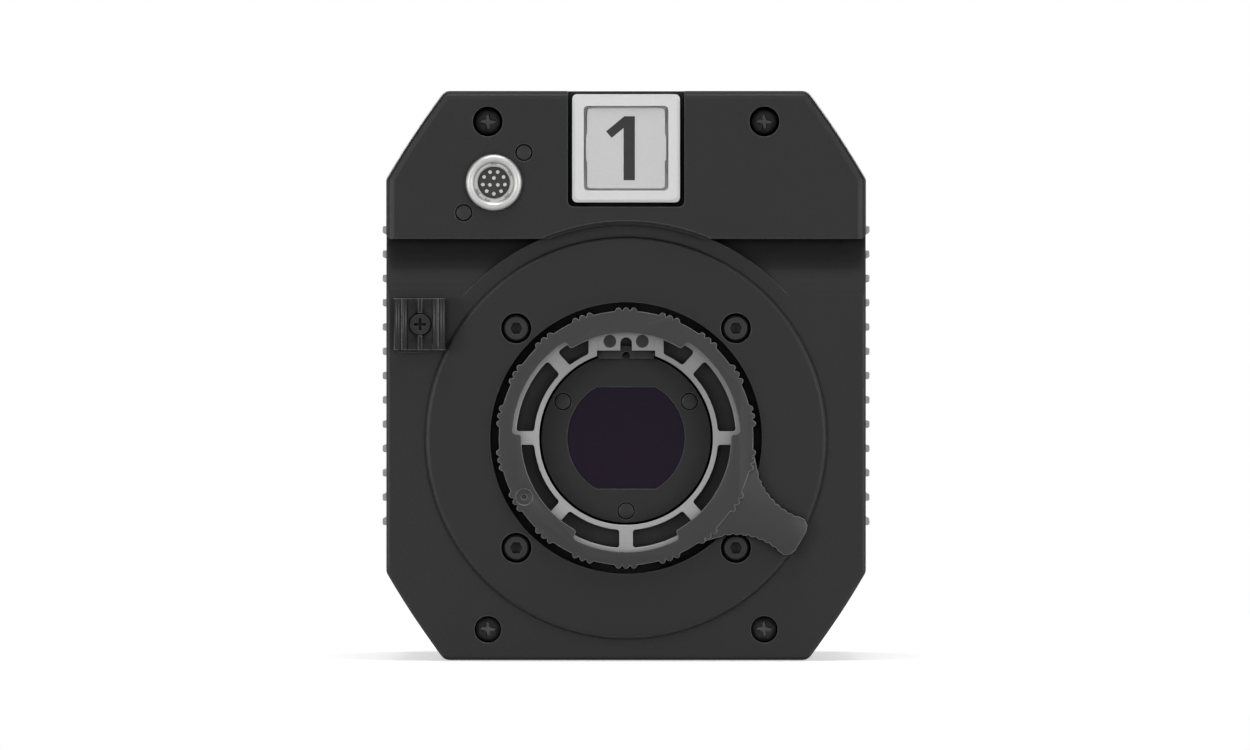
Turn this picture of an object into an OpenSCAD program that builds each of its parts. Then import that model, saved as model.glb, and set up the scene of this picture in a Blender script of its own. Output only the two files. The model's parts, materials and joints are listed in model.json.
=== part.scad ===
/* [Body] */
// Width of the body over its side covers
body_w = 102; // [98:1:110]
// Height of the body
body_h = 121; // [119:1:130]
// Length of the body between its front and rear faces
body_length = 180; // [170:1:210]
// Width of each long corner chamfer
chamfer_w = 12.35; // [9:0.05:14]
// Height of each long corner chamfer
chamfer_h = 18.65; // [14:0.05:20]
// Outward bow of the chamfer faces
chamfer_bow = 0.35; // [0:0.05:0.8]
// Radius of the corners where flats and chamfers meet
corner_r = 2.1; // [1:0.1:3]
// Thickness of the covers and of the base plate
wall = 2.5; // [2:0.1:3]
// Open seam between neighbouring covers
seam_gap = 0.2; // [0.1:0.05:0.4]
// Distance of the covers' seams from the body's sides
seam_side = 15; // [14:0.5:16]

/* [Front panel] */
// Height of the proud hood below the body's top
hood_h = 31.4; // [30:0.1:33]
// How far the hood stands proud of the lower face
hood_step = 3.5; // [2.5:0.1:5]
// Depth of the front panel behind the hood's face
front_depth = 14; // [13:0.5:18]
// Height of the scoop below the hood's edge
scoop_h = 12.5; // [10:0.5:14]
// Depth of the scoop at the hood's edge
scoop_depth = 4.5; // [2:0.1:5]
// Radius of the eased edge round the hood
hood_fillet = 1.7; // [0.8:0.1:2]
// Radius of the eased edge round the lower face
face_fillet = 0.7; // [0.4:0.1:1]
// Radius of the hood's arched cut-out round the lens axis
arch_r = 45.5; // [45:0.1:47]
// Width of the bevel along the arched cut-out
arch_bevel = 0.7; // [0.5:0.1:1.5]
// Distance of the corner screws from the body's sides
corner_screw_side = 21.6; // [21:0.1:22.5]
// Distance of the corner screws from the body's top and bottom
corner_screw_inset = 6.5; // [6.5:0.1:7]
// Radius of the deep screw wells in the hood
hood_well_r = 3.2; // [2.9:0.05:3.4]
// Radius of the screw wells in the lower face
lower_well_r = 2.85; // [2.75:0.05:3.1]

/* [Mount plate] */
// Height of the lens axis over the base
lens_z = 47.2; // [47:0.1:48.5]
// Radius of the raised mount disc
disc_r = 42.85; // [42:0.05:43.5]
// How far the mount disc stands proud of the lower face
disc_raise = 1.05; // [0.6:0.05:1.4]
// Radius of the spigot that seats the mount plate in the panel
spigot_r = 40; // [38:0.5:41]
// Thickness of the mount plate at its screws
spigot_t = 6; // [5:0.1:6.5]
// Length of the back barrel behind the panel
back_barrel_l = 4; // [2:0.5:8]
// Radius of the bearing barrel that carries the lock ring
barrel_r = 25; // [24.8:0.1:25.2]
// Thickness of the bearing barrel round the lens throat
barrel_wall = 6.5; // [6.4:0.05:6.6]
// Distance of the four mount screws outside the recess
mount_screw_gap = 4.12; // [4:0.02:4.5]
// Radius of the mount screws' counterbores
mount_well_r = 3.225; // [3:0.025:3.3]

/* [Lock ring] */
// Thickness of the lock ring round its barrel
ring_wall = 2.05; // [1.8:0.05:2.3]
// Gap between the lock ring and its recess
recess_gap = 1.85; // [1.5:0.05:2.2]
// How far the three bayonet lugs reach in over the barrel
lug_reach = 2.7; // [2.4:0.05:3]
// How far the rim reaches in over the barrel in the bayonet gaps
lug_gap_reach = 0.8; // [0.5:0.05:1]
// Height of the ring's grip ribs
rib_h = 0.75; // [0.4:0.05:0.9]
// Number of rib groups round the ring
rib_groups = 18; // [12:1:20]
// Angle between the ribs of a group
rib_pitch_angle = 3.45; // [3:0.05:4]
// How far the ring's face stands proud of the mount disc
ring_proud = 2.9; // [2.7:0.1:3.5]
// Thickness of the ring's front plate with its lugs
ring_plate_t = 1.8; // [1.4:0.1:2]
// Running clearance between the ring and its barrel
ring_fit = 0.05; // [0.03:0.01:0.08]

/* [Lock lever] */
// Angle of the lever at rest, below the horizontal
lever_angle = 30.5; // [25:0.5:35]
// Radius of the lever's tip from the lens axis
lever_tip_r = 43.1; // [42:0.1:44]
// Half width of the lever's waist
lever_waist = 4.06; // [3.8:0.02:4.4]
// Distance of the waist from the lens axis
lever_waist_r = 37.6; // [37:0.1:38]
// Radius of the lever's hollow sides
lever_side_r = 14.1; // [13.5:0.1:15]
// Thickness of the lever
lever_t = 2; // [1.6:0.1:2.1]
// How far the lever lies behind the ring's face
lever_drop = 0.4; // [0.2:0.1:0.5]
// Radius of the corners at the lever's tip
lever_corner_r = 2.2; // [1.5:0.1:2.5]
// Depth of the lever's finger serrations
serration_depth = 0.3; // [0.1:0.05:0.4]
// Number of serrations on each side of the lever
serrations = 8; // [6:1:9]

/* [Lens flange] */
// Thickness of the bayonet flange ring
flange_t = 2; // [1.6:0.1:2.2]
// Distance of the flange face behind the lugs
flange_gap = 2; // [1.8:0.1:2.2]
// Width of the flange ring's outer rim
flange_rim = 1; // [0.9:0.05:1.2]
// Width of the flange ring's inner rim
flange_lip = 1.1; // [1:0.05:1.3]
// Width of the flange ring's spokes
spoke_w = 2.9; // [2.5:0.1:3.3]
// Half width of the solid pad behind the index block
pad_half_w = 8; // [7.6:0.1:8.4]
// Half width of the index block
index_half_w = 6.2; // [6:0.1:6.6]
// Width of the index slot
index_slot_w = 2.47; // [2.3:0.01:2.7]
// Depth of the filter holder's face behind the flange face
filter_depth = 6; // [5:0.1:6.5]
// Gap between the filter holder and the throat
filter_gap = 0.5; // [0.4:0.05:0.9]
// Width of the filter holder's face round the glass
filter_rim = 5.5; // [5:0.1:6]
// Distance from the flange face to the image sensor
flange_focal = 48; // [46:0.5:50]

/* [Lens connector] */
// Distance of the lens connector from the body's side
connector_side = 22.9; // [22.5:0.1:24]
// Distance of the lens connector below the body's top
connector_drop = 19.5; // [19:0.1:20]
// Outer radius of the lens connector
connector_r = 6.05; // [5.8:0.05:6.2]
// Radius of the lens connector's socket
socket_r = 4.1; // [3.9:0.05:4.3]
// How far the lens connector stands proud of the hood
connector_proud = 1.6; // [1:0.1:2.2]

/* [Tally window] */
// Width of the tally window's frame
tally_w = 22.9; // [22:0.1:23.5]
// Height of the tally window's frame
tally_h = 23; // [22.5:0.1:23.3]
// Distance of the frame's top below the body's top
tally_drop = 0.7; // [0.4:0.1:1]
// Gap between the frame and its pocket
tally_gap = 0.95; // [0.5:0.05:1.2]
// Depth of the tally pocket
tally_depth = 6; // [5:0.1:8]
// Width and height of the window in the frame
pane_w = 17.7; // [17.4:0.1:18]
// Width of the number plate
plate_w = 16.54; // [16:0.02:17]
// Height of the number plate
plate_h = 17.1; // [16.8:0.1:17.3]
// Thickness of the number plate
plate_t = 1.2; // [1:0.1:1.5]

/* [Cable clamp] */
// Width and height of the cable clamp
clamp_w = 11; // [10:0.1:11.5]
// Depth of the cable clamp
clamp_d = 6.5; // [5.5:0.1:8]
// Distance of the cable clamp from the body's side
clamp_side = 7.2; // [6.8:0.1:7.5]
// Distance of the cable clamp below the hood's edge
clamp_drop = 18.2; // [17.6:0.1:19.6]
// Width of the clamp's cable channel
channel_w = 5; // [4.6:0.1:5.4]

/* [Heat sinks] */
// Number of cooling fins on each side
fins = 13; // [9:1:14]
// Thickness of a cooling fin
fin_t = 1.6; // [1.2:0.1:2]
// How far the fins stand proud of the side covers
fin_proud = 1; // [0.6:0.1:2]
// Distance of the outermost fins' middles from the chamfers
fin_margin = 10.71; // [10:0.01:11.5]
// Distance of the fins' ends from the front and rear panels
fin_end_margin = 9; // [7:0.5:20]
// Gap round each fin in the side cover
fin_gap = 0.3; // [0.2:0.05:0.5]

/* [Rear panel] */
// Depth of the rear panel
rear_depth = 8; // [7:0.5:10]
// Depth of the sunk field of the rear panel
rear_sink = 3; // [2:0.5:3.5]
// Distance of the sunk field from the body's sides
rear_field_side = 13; // [12.5:0.5:13.5]
// Margin of the sunk field from the body's top and bottom
rear_field_margin = 11; // [10.5:0.5:11.5]
// Height of the coaxial jacks over the base
jack_z = 57; // [56:0.5:58]
// Length of the coaxial jacks behind the sunk field
jack_l = 13; // [12:0.5:15]
// Distance of the power inlet from the sunk field's side
inlet_side = 15; // [14:0.5:16]
// Height of the lower connectors over the base
inlet_z = 29; // [27:0.5:30]
// Distance of the fan's middle below the body's top
fan_drop = 31; // [30:0.5:32]
// Width of the fan's frame
fan_w = 40; // [36:1:40]
// Number of fan blades
fan_blades = 7; // [5:1:9]
// Distance of the controls from the sunk field's sides
control_side = 8.5; // [8:0.5:9.5]
// Tilt of the power rocker between off and on
rocker_tilt = 16; // [12:1:20]

/* [Base] */
// Radius of the quarter inch tripod thread
tripod_r = 3.175; // [3:0.025:3.3]
// Radius of the three eighths inch tripod thread
large_tripod_r = 4.7625; // [4.6:0.0125:4.9]
// Distance of the large tripod thread in front of the small one
large_tripod_pitch = 30; // [25:1:40]
// Depth of the tripod threads
tripod_depth = 9; // [7:0.5:10]

/* [Hidden] */
$fn = 48;

case_black = [0.2, 0.2, 0.205];
ring_grey = [0.27, 0.27, 0.275];
satin_metal = [0.6, 0.6, 0.61];
bright_metal = [0.82, 0.82, 0.83];
screw_grey = [0.26, 0.26, 0.265];
board_green = [0.08, 0.3, 0.16];
lamp_white = [0.86, 0.86, 0.86];
rubber_black = [0.1, 0.1, 0.1];
glass_tint = [0.15, 0.13, 0.18];
brass = [0.75, 0.62, 0.3];
plate_white = [0.79, 0.79, 0.79];
digit_grey = [0.25, 0.25, 0.25];
lamp_green = [0.2, 0.6, 0.25];

// Overrun of cuts past the faces that they open
over = 1;
// Thickness of the slices that an eased edge is lofted through
sliver = 0.01;
fillet_steps = 3;
corner_steps = 3;
bow_steps = 6;
lens_fn = 96;
// Least share of a corner radius that an inset outline keeps
corner_min_share = 0.25;

// Stations along the body, the front being at negative y
front_y = -body_length / 2;
lower_y = front_y + hood_step;
panel_back_y = front_y + front_depth;
rear_y = body_length / 2;
rear_front_y = rear_y - rear_depth;
field_y = rear_y - rear_sink;
hood_z = body_h - hood_h;
seam_x = body_w / 2 - seam_side;
corner_screw_x = body_w / 2 - corner_screw_side;
connector_x = body_w / 2 - connector_side;
clamp_x = body_w / 2 - clamp_side;
clamp_z = hood_z - clamp_drop;
rear_field_x = body_w / 2 - rear_field_side;
inlet_x = rear_field_x - inlet_side;
control_x = rear_field_x - control_side;
fan_z = body_h - fan_drop;

// Radii of the lens mount, all from the bearing barrel
ring_r = barrel_r + ring_wall;
recess_r = ring_r + recess_gap;
back_barrel_wall = 1.5;
back_barrel_r = recess_r + back_barrel_wall;
mount_screw_x = (recess_r + mount_screw_gap) * sin(45);
throat_r = barrel_r - barrel_wall;
lug_r = barrel_r - lug_reach;
lug_gap_r = barrel_r - lug_gap_reach;
flange_play = 0.6;
flange_r = barrel_r - flange_play;
window_in_r = throat_r + flange_lip;
window_out_r = flange_r - flange_rim;
filter_face_r = throat_r - filter_gap;
glass_r = filter_face_r - filter_rim;
glass_flat = 1.7;
glass_half_h = glass_r - glass_flat;
// Middles of the bayonet gaps and of the plugs in the filter holder
third_angles = [30, 150, 270];

disc_y = lower_y - disc_raise;
seat_y = disc_y + spigot_t;
plate_back_y = panel_back_y + back_barrel_l;
ring_y = disc_y - ring_proud;
lug_back_y = ring_y + ring_plate_t;
flange_y = lug_back_y + flange_gap;
barrel_y = flange_y + flange_t;
filter_y = flange_y + filter_depth;
sensor_y = flange_y + flange_focal;

// Clearance round the shanks of screws and in their threads
screw_play = 0.2;
m3_r = 1.5;
m3_head_r = 2.75;
m3_head_t = 3;
m3_hex_r = 1.4;
thread_depth = 8;

rail_w = 8;
rail_top_z = body_h - corner_screw_inset;
rail_low_z = corner_screw_inset;

// Shapes placed along the body

// Extrudes an outline in x and z from one station to another
module along_y(from, to) {
  translate([0, to, 0])
    rotate([90, 0, 0])
      linear_extrude(to - from)
        children();
}

// A round bar or cut along y
module round_y(x, z, r, from, to) {
  translate([x, to, z])
    rotate([90, 0, 0])
      cylinder(r = r, h = to - from);
}

// A tapered round along y, with one radius at each station
module taper_y(x, z, r_from, r_to, from, to) {
  translate([x, from, z])
    rotate([-90, 0, 0])
      cylinder(r1 = r_from, r2 = r_to, h = to - from);
}

// Turns a profile of radius and station about an axis along y
module turned_y(x, z) {
  translate([x, 0, z])
    rotate([-90, 0, 0])
      rotate_extrude($fn = lens_fn)
        children();
}

// A block given by its middle in x and z and its stations
module block_y(x, z, w, h, from, to) {
  translate([x - w / 2, from, z - h / 2])
    cube([w, to - from, h]);
}

module at_lens_axis() {
  translate([0, 0, lens_z])
    children();
}

// The four quadrants of a place about a middle
module at_quadrants(x, z) {
  for (sx = [-1, 1], sz = [-1, 1])
    translate([sx * x, 0, sz * z])
      children();
}

// The corner screws of the front and rear panels
module at_corner_screws() {
  translate([0, 0, body_h / 2])
    at_quadrants(corner_screw_x, body_h / 2 - corner_screw_inset)
      children();
}

// Points of an arc that rounds corner b between its neighbours a and c
function rounded_corner(a, b, c, r, steps) =
  let (
    u = (a - b) / norm(a - b),
    v = (c - b) / norm(c - b),
    half = acos(u * v) / 2,
    middle = b + (u + v) / norm(u + v) * r / sin(half),
    first = b + u * r / tan(half) - middle,
    last = b + v * r / tan(half) - middle,
    start = atan2(first[1], first[0]),
    turn = (atan2(last[1], last[0]) - start + 360 + 180) % 360 - 180
  )
  [for (i = [0:steps]) middle + r * [cos(start + turn * i / steps), sin(start + turn * i / steps)]];

// A polygon's points with each corner rounded
function rounded_points(points, r, steps) =
  let (n = len(points))
  [for (i = [0:n - 1])
    each rounded_corner(points[(i + n - 1) % n], points[i], points[(i + 1) % n], r, steps)];

module rounded_plate(w, h, r) {
  polygon(rounded_points([[w, -h] / 2, [w, h] / 2, [-w, h] / 2, [-w, -h] / 2], r, corner_steps));
}

// Ends of the upper right chamfer of an outline that is set in from the body's
function chamfer_ends(inset) =
  let (
    reach = norm([chamfer_w, chamfer_h]),
    nx = chamfer_h / reach,
    nz = chamfer_w / reach,
    line = nx * (body_w / 2 - chamfer_w) + nz * body_h / 2 - inset,
    side_x = body_w / 2 - inset,
    top_z = body_h / 2 - inset
  )
  [[side_x, (line - nx * side_x) / nz], [(line - nz * top_z) / nx, top_z]];

// Upper right quarter of the outline, from the side flat to the top flat
function outline_quarter(inset) =
  let (
    ends = chamfer_ends(inset),
    along = ends[1] - ends[0],
    outward = [along[1], -along[0]] / norm(along),
    bowed = [for (i = [0:bow_steps])
      let (t = i / bow_steps)
      ends[0] + along * t + outward * chamfer_bow * 4 * t * (1 - t)],
    r = max(corner_r - inset, corner_r * corner_min_share)
  )
  concat(
    rounded_corner([ends[0][0], 0], ends[0], bowed[1], r, corner_steps),
    [for (i = [1:bow_steps - 1]) bowed[i]],
    rounded_corner(bowed[bow_steps - 1], ends[1], [0, ends[1][1]], r, corner_steps)
  );

function body_outline(inset) =
  let (q = outline_quarter(inset), n = len(q))
  concat(
    q,
    [for (i = [n - 1:-1:0]) [-q[i][0], q[i][1]]],
    [for (p = q) -p],
    [for (i = [n - 1:-1:0]) [q[i][0], -q[i][1]]]
  );

module body_section(inset = 0) {
  translate([0, body_h / 2])
    polygon(body_outline(inset));
}

// A closed solid through rings of points, from the front one back
module lofted(rings) {
  n = len(rings[0]);
  m = len(rings);
  polyhedron(
    points = [for (ring = rings) each ring],
    faces = concat(
      [[for (i = [n - 1:-1:0]) i]],
      [for (k = [0:m - 2], i = [0:n - 1])
        let (next = (i + 1) % n)
        [k * n + i, k * n + next, (k + 1) * n + next, (k + 1) * n + i]],
      [[for (i = [0:n - 1]) (m - 1) * n + i]]
    )
  );
}

// The body's outline as points in space at one station
function outline_ring(inset, y) = [for (p = body_outline(inset)) [p[0], y, p[1] + body_h / 2]];

// A slab of the body's outline with its front edge eased
module eased_slab(from, to, fillet) {
  lofted(concat(
    [for (i = [fillet_steps:-1:0])
      let (a = 90 * i / fillet_steps)
      outline_ring(fillet * (1 - cos(a)), from + fillet * (1 - sin(a)))],
    [outline_ring(0, to)]
  ));
}

// Front panel

scoop_steps = 8;
scoop_power = 1.45;
hood_nick = 0.8;
bevel_keep_share = 0.67;
arch_keep_r = arch_r + arch_bevel * bevel_keep_share;
well_depth = 7.5;
lower_well_depth = 6;
web_play = 0.1;
tally_z = body_h - tally_drop - tally_h / 2;
tally_pocket_r = 1.2;
tally_wire_w = 8;
tally_wire_h = 5;
connector_z = body_h - connector_drop;
connector_screw_pitch = 6.4;
connector_screw_r = 1.6;
connector_screw_well_r = 1.85;
connector_screw_t = 1.2;
connector_screw_sink = 0.3;
clamp_screw_r = 1.25;
clamp_screw_depth = 5;
clamp_seat = 0.4;
clamp_seat_margin = 0.5;

// The scoop sinks away below the hood's edge, round the mount's boss
module scoop() {
  difference() {
    translate([-body_w, 0, 0])
      rotate([90, 0, 90])
        linear_extrude(2 * body_w)
          polygon(concat(
            [for (i = [0:scoop_steps])
              let (t = i / scoop_steps)
              [lower_y + scoop_depth * pow(t, scoop_power), hood_z - scoop_h * (1 - t)]],
            [[lower_y - over, hood_z], [lower_y - over, hood_z - scoop_h]]
          ));
    round_y(0, lens_z, arch_keep_r, front_y - over, panel_back_y);
  }
}

// The small bevels at the ends of the hood's edge
module hood_nicks() {
  for (side = [-1, 1])
    translate([side * body_w / 2, (front_y + lower_y) / 2, hood_z])
      rotate([0, 45, 0])
        cube([hood_nick, 2 * (hood_step + over), hood_nick] * sqrt(2), center = true);
}

module front_panel() {
  color(case_black)
    difference() {
      union() {
        eased_slab(lower_y, panel_back_y, face_fillet);
        intersection() {
          eased_slab(front_y, panel_back_y, hood_fillet);
          translate([-body_w, front_y - over, hood_z])
            cube([2 * body_w, front_depth + 2 * over, body_h]);
        }
        block_y(-clamp_x, clamp_z - clamp_seat_margin, clamp_w - 2 * clamp_seat_margin,
          clamp_w, lower_y - clamp_seat, seat_y);
      }
      scoop();
      hood_nicks();
      round_y(0, lens_z, arch_r, front_y - over, lower_y);
      taper_y(0, lens_z, arch_r + arch_bevel + over, arch_r,
        front_y - over, front_y + arch_bevel);
      round_y(0, lens_z, spigot_r + web_play, lower_y - over, seat_y);
      round_y(0, lens_z, back_barrel_r + web_play, lower_y, panel_back_y + over);
      at_lens_axis()
        at_quadrants(mount_screw_x, mount_screw_x)
          round_y(0, 0, m3_r, lower_y, panel_back_y + over);
      at_corner_screws()
        round_y(0, 0, m3_r + screw_play, front_y - over, panel_back_y + over);
      for (side = [-1, 1]) {
        round_y(side * corner_screw_x, rail_top_z, hood_well_r,
          front_y - over, front_y + well_depth);
        round_y(side * corner_screw_x, rail_low_z, lower_well_r,
          lower_y - over, lower_y + lower_well_depth);
      }
      round_y(-connector_x, connector_z, connector_r + web_play,
        front_y - over, panel_back_y + over);
      for (side = [-1, 1])
        round_y(-connector_x + side * connector_screw_pitch,
          connector_z + side * connector_screw_pitch, connector_screw_well_r,
          front_y - over, front_y + connector_screw_sink + connector_screw_t);
      along_y(front_y - over, front_y + tally_depth)
        translate([0, tally_z + over / 2])
          rounded_plate(tally_w + 2 * tally_gap,
            tally_h + 2 * tally_gap + over, tally_pocket_r);
      block_y(0, tally_z, tally_wire_w, tally_wire_h,
        front_y, panel_back_y + over);
      round_y(-clamp_x, clamp_z, clamp_screw_r, front_y, lower_y + clamp_screw_depth);
    }
}

// Covers and base

cover_screw_r = 1.2;
cover_head_r = 2.1;
cover_head_t = 1.2;
cover_screw_l = 6;
cover_screw_inset = 9;
sink_t = 4;
sink_margin = 7;
sink_screw_margin = 4.8;
sink_y = (panel_back_y + rear_front_y) / 2;
fin_l = rear_front_y - panel_back_y - 2 * fin_end_margin;
fin_low_z = chamfer_h + fin_margin;
fin_high_z = body_h - fin_low_z;
fin_pitch = (fin_high_z - fin_low_z) / (fins - 1);
fin_corner_r = 0.45;
boss_half_w = 14;
boss_margin = 12;
boss_top_z = tripod_depth + wall;

// One length of the hollow body section between two limits in x
module shell_between(from_x, to_x) {
  along_y(panel_back_y, rear_front_y)
    difference() {
      intersection() {
        body_section();
        translate([from_x, -over])
          square([to_x - from_x, body_h + 2 * over]);
      }
      body_section(wall);
    }
}

// Cover screws in the rails, on the top (1) or the base (-1)
module at_rail_screws(level) {
  for (side = [-1, 1], end = [panel_back_y + cover_screw_inset, rear_front_y - cover_screw_inset])
    translate([side * corner_screw_x, end, level > 0 ? body_h : 0])
      rotate([level > 0 ? 180 : 0, 0, 0])
        children();
}

// Screws that hold a side cover to its heat sink
module at_side_screws(side) {
  for (end = [-1, 1], z = [fin_low_z - sink_screw_margin, fin_high_z + sink_screw_margin])
    translate([side * body_w / 2, sink_y + end * (fin_l / 2 - cover_screw_inset), z])
      rotate([0, -90 * side, 0])
        children();
}

// Hole for a cover screw along +z from the outer face
module cover_screw_hole() {
  translate([0, 0, -over])
    cylinder(r = cover_head_r, h = over + cover_head_t);
  cylinder(r = cover_screw_r, h = cover_screw_l);
}

// A screw whose cross recessed head lies flush in the outer face
module cover_screw() {
  difference() {
    union() {
      cylinder(r = cover_head_r, h = cover_head_t);
      cylinder(r = cover_screw_r, h = cover_screw_l);
    }
    cross_recess(cover_head_r, cover_head_t);
  }
}

recess_reach_share = 0.6;
recess_width_share = 0.3;
recess_depth_share = 0.6;

// The cross-shaped driver recess of a head whose face is at z = 0
module cross_recess(head_r, head_t) {
  for (turn = [0, 90])
    rotate(turn)
      translate([-head_r * recess_reach_share, -head_r * recess_width_share / 2, -over])
        cube([2 * head_r * recess_reach_share, head_r * recess_width_share,
          over + head_t * recess_depth_share]);
}

module top_cover() {
  color(case_black)
    difference() {
      intersection() {
        shell_between(-seam_x, seam_x);
        translate([-body_w, panel_back_y - over, body_h / 2])
          cube([2 * body_w, body_length, body_h]);
      }
      at_rail_screws(1)
        cover_screw_hole();
    }
}

module base_plate() {
  color(case_black)
    difference() {
      union() {
        intersection() {
          shell_between(-seam_x, seam_x);
          translate([-body_w, panel_back_y - over, -body_h / 2])
            cube([2 * body_w, body_length, body_h]);
        }
        translate([-boss_half_w, -large_tripod_pitch - boss_margin, 0])
          cube([2 * boss_half_w, large_tripod_pitch + 2 * boss_margin, boss_top_z]);
      }
      at_rail_screws(-1)
        cover_screw_hole();
      translate([0, 0, -over])
        cylinder(r = tripod_r, h = over + tripod_depth);
      translate([0, -large_tripod_pitch, -over])
        cylinder(r = large_tripod_r, h = over + tripod_depth);
    }
}

// The fins' outlines, grown by a gap, on one side
module fin_rows(side, inner_x, outer_x, grow) {
  for (i = [0:fins - 1])
    translate([side * (inner_x + outer_x) / 2, fin_low_z + i * fin_pitch])
      rounded_plate(outer_x - inner_x, fin_t + 2 * grow, fin_corner_r + grow);
}

module side_cover(side) {
  color(case_black)
    difference() {
      shell_between(
        side > 0 ? seam_x + seam_gap : -body_w,
        side > 0 ? body_w : -seam_x - seam_gap);
      along_y(sink_y - fin_l / 2 - fin_gap, sink_y + fin_l / 2 + fin_gap)
        fin_rows(side, body_w / 2 - wall - over, body_w / 2 + over, fin_gap);
      at_side_screws(side)
        cover_screw_hole();
    }
}

module left_cover() {
  side_cover(-1);
}

module right_cover() {
  side_cover(1);
}

module heat_sink(side) {
  color(satin_metal)
    difference() {
      along_y(sink_y - fin_l / 2, sink_y + fin_l / 2) {
        translate([side * (body_w / 2 - wall - sink_t / 2), (fin_low_z + fin_high_z) / 2])
          square([sink_t, fin_high_z - fin_low_z + 2 * sink_margin], center = true);
        fin_rows(side, body_w / 2 - wall - sink_t / 2, body_w / 2 + fin_proud, 0);
      }
      at_side_screws(side)
        cylinder(r = cover_screw_r, h = cover_screw_l);
    }
}

module left_heat_sink() {
  heat_sink(-1);
}

module right_heat_sink() {
  heat_sink(1);
}

module frame_rails() {
  color(satin_metal)
    difference() {
      at_corner_screws()
        block_y(0, 0, rail_w, rail_w, panel_back_y, rear_front_y);
      at_corner_screws() {
        round_y(0, 0, m3_r, panel_back_y - over, panel_back_y + thread_depth);
        round_y(0, 0, m3_r, rear_front_y - thread_depth, rear_front_y + over);
      }
      for (level = [-1, 1])
        at_rail_screws(level)
          cylinder(r = cover_screw_r, h = cover_screw_l);
    }
}

module cover_screws() {
  color(screw_grey) {
    for (level = [-1, 1])
      at_rail_screws(level)
        cover_screw();
    for (side = [-1, 1])
      at_side_screws(side)
        cover_screw();
  }
}

corner_head_r = 2.6;
corner_head_t = 2;

// A corner screw with its head's face at one station, driven towards +y
module corner_screw(x, z, face_y) {
  translate([x, face_y, z])
    rotate([-90, 0, 0])
      difference() {
        union() {
          cylinder(r = corner_head_r, h = corner_head_t);
          cylinder(r = m3_r, h = panel_back_y + thread_depth - face_y - over);
        }
        cross_recess(corner_head_r, corner_head_t);
      }
}

module panel_screws() {
  color(screw_grey)
    for (side = [-1, 1]) {
      corner_screw(side * corner_screw_x, rail_top_z, front_y + well_depth - corner_head_t);
      corner_screw(side * corner_screw_x, rail_low_z,
        lower_y + lower_well_depth - corner_head_t);
    }
}

// Lens mount

channel_depth = 8;
channel_y = disc_y + channel_depth;
ring_back_gap = 0.6;
ring_back_y = channel_y - ring_back_gap;
disc_ease_steps = 4;
mount_well_depth = 3.6;
m3_hex_depth = 2.2;
throat_relief = 0.3;
window_groove = 1.5;
retainer_t = 1;
retainer_depth = 0.8;
retainer_gap = 0.3;
retainer_y = (barrel_y + ring_back_y - retainer_t) / 2;
ledge_half_w = 5.95;
ledge_reach = 1.55;
ledge_low = throat_r - ledge_reach;
ledge_t = 3;
ledge_hole_r = 0.87;
ledge_hole_drop = 1;
ledge_hole_z = throat_r - ledge_hole_drop;
index_rest = 0.1;
index_low = throat_r + index_rest;
index_h = 4.6;
index_pin_x = 3.45;
index_pin_rise = 2;
index_pin_z = index_low + index_pin_rise;
index_pin_r = 1.37;
index_thread_r = 0.8;
index_thread_depth = 3;
index_slot_h = 2.8;
index_slot_top = index_low + index_slot_h;
holder_flange_inset = 2.4;
holder_flange_r = back_barrel_r - holder_flange_inset;
holder_flange_t = 3;
holder_screw_gap = 5.5;
holder_screw_r = throat_r + holder_screw_gap;
m2_r = 1;
m2_head_r = 1.9;
m2_head_t = 1.4;
holder_screw_l = 8;
holder_screws = 3;

module mount_plate() {
  color(case_black)
    difference() {
      union() {
        turned_y(0, lens_z)
          polygon(concat(
            [
              [throat_r + throat_relief, barrel_y],
              [window_in_r, barrel_y],
              [window_in_r, barrel_y + window_groove],
              [window_out_r, barrel_y + window_groove],
              [window_out_r, barrel_y],
              [barrel_r, barrel_y],
              [barrel_r, channel_y],
              [recess_r, channel_y],
              [recess_r, disc_y],
            ],
            [for (i = [0:disc_ease_steps])
              let (a = 90 * i / disc_ease_steps)
              [disc_r - disc_raise * (1 - sin(a)), lower_y - disc_raise * cos(a)]],
            [
              [spigot_r, lower_y],
              [spigot_r, seat_y],
              [back_barrel_r, seat_y],
              [back_barrel_r, plate_back_y],
              [throat_r + throat_relief, plate_back_y],
            ]
          ));
        along_y(barrel_y, barrel_y + ledge_t)
          on_lens_axis()
            index_ledge();
      }
      turned_y(0, lens_z)
        translate([barrel_r - retainer_depth, retainer_y])
          square([2 * retainer_depth, retainer_t]);
      at_lens_axis()
        at_quadrants(mount_screw_x, mount_screw_x) {
          round_y(0, 0, mount_well_r, disc_y - over, disc_y + mount_well_depth);
          round_y(0, 0, m3_r + screw_play, disc_y, seat_y + over);
        }
      for (side = [-1, 1])
        round_y(side * index_pin_x, lens_z + index_pin_z, index_thread_r,
          barrel_y - over, barrel_y + index_thread_depth);
      at_holder()
        cylinder(r = m2_r, h = holder_screw_l);
    }
}

// Screws that hold the filter holder's flange from behind, driven towards -y
module at_holder() {
  for (i = [0:holder_screws - 1])
    let (a = 90 + 360 * i / holder_screws)
    translate([holder_screw_r * cos(a), plate_back_y + holder_flange_t, lens_z + holder_screw_r * sin(a)])
      rotate([90, 0, 0])
        children();
}

module on_lens_axis() {
  translate([0, lens_z])
    children();
}

// Flat ledge below the index block, with the half-round hole for the guide pin
module index_ledge() {
  difference() {
    intersection() {
      translate([-ledge_half_w, ledge_low])
        square([2 * ledge_half_w, index_low - ledge_low + over]);
      circle(r = throat_r + over, $fn = lens_fn);
    }
    translate([0, ledge_hole_z])
      circle(r = ledge_hole_r);
  }
}

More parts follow.
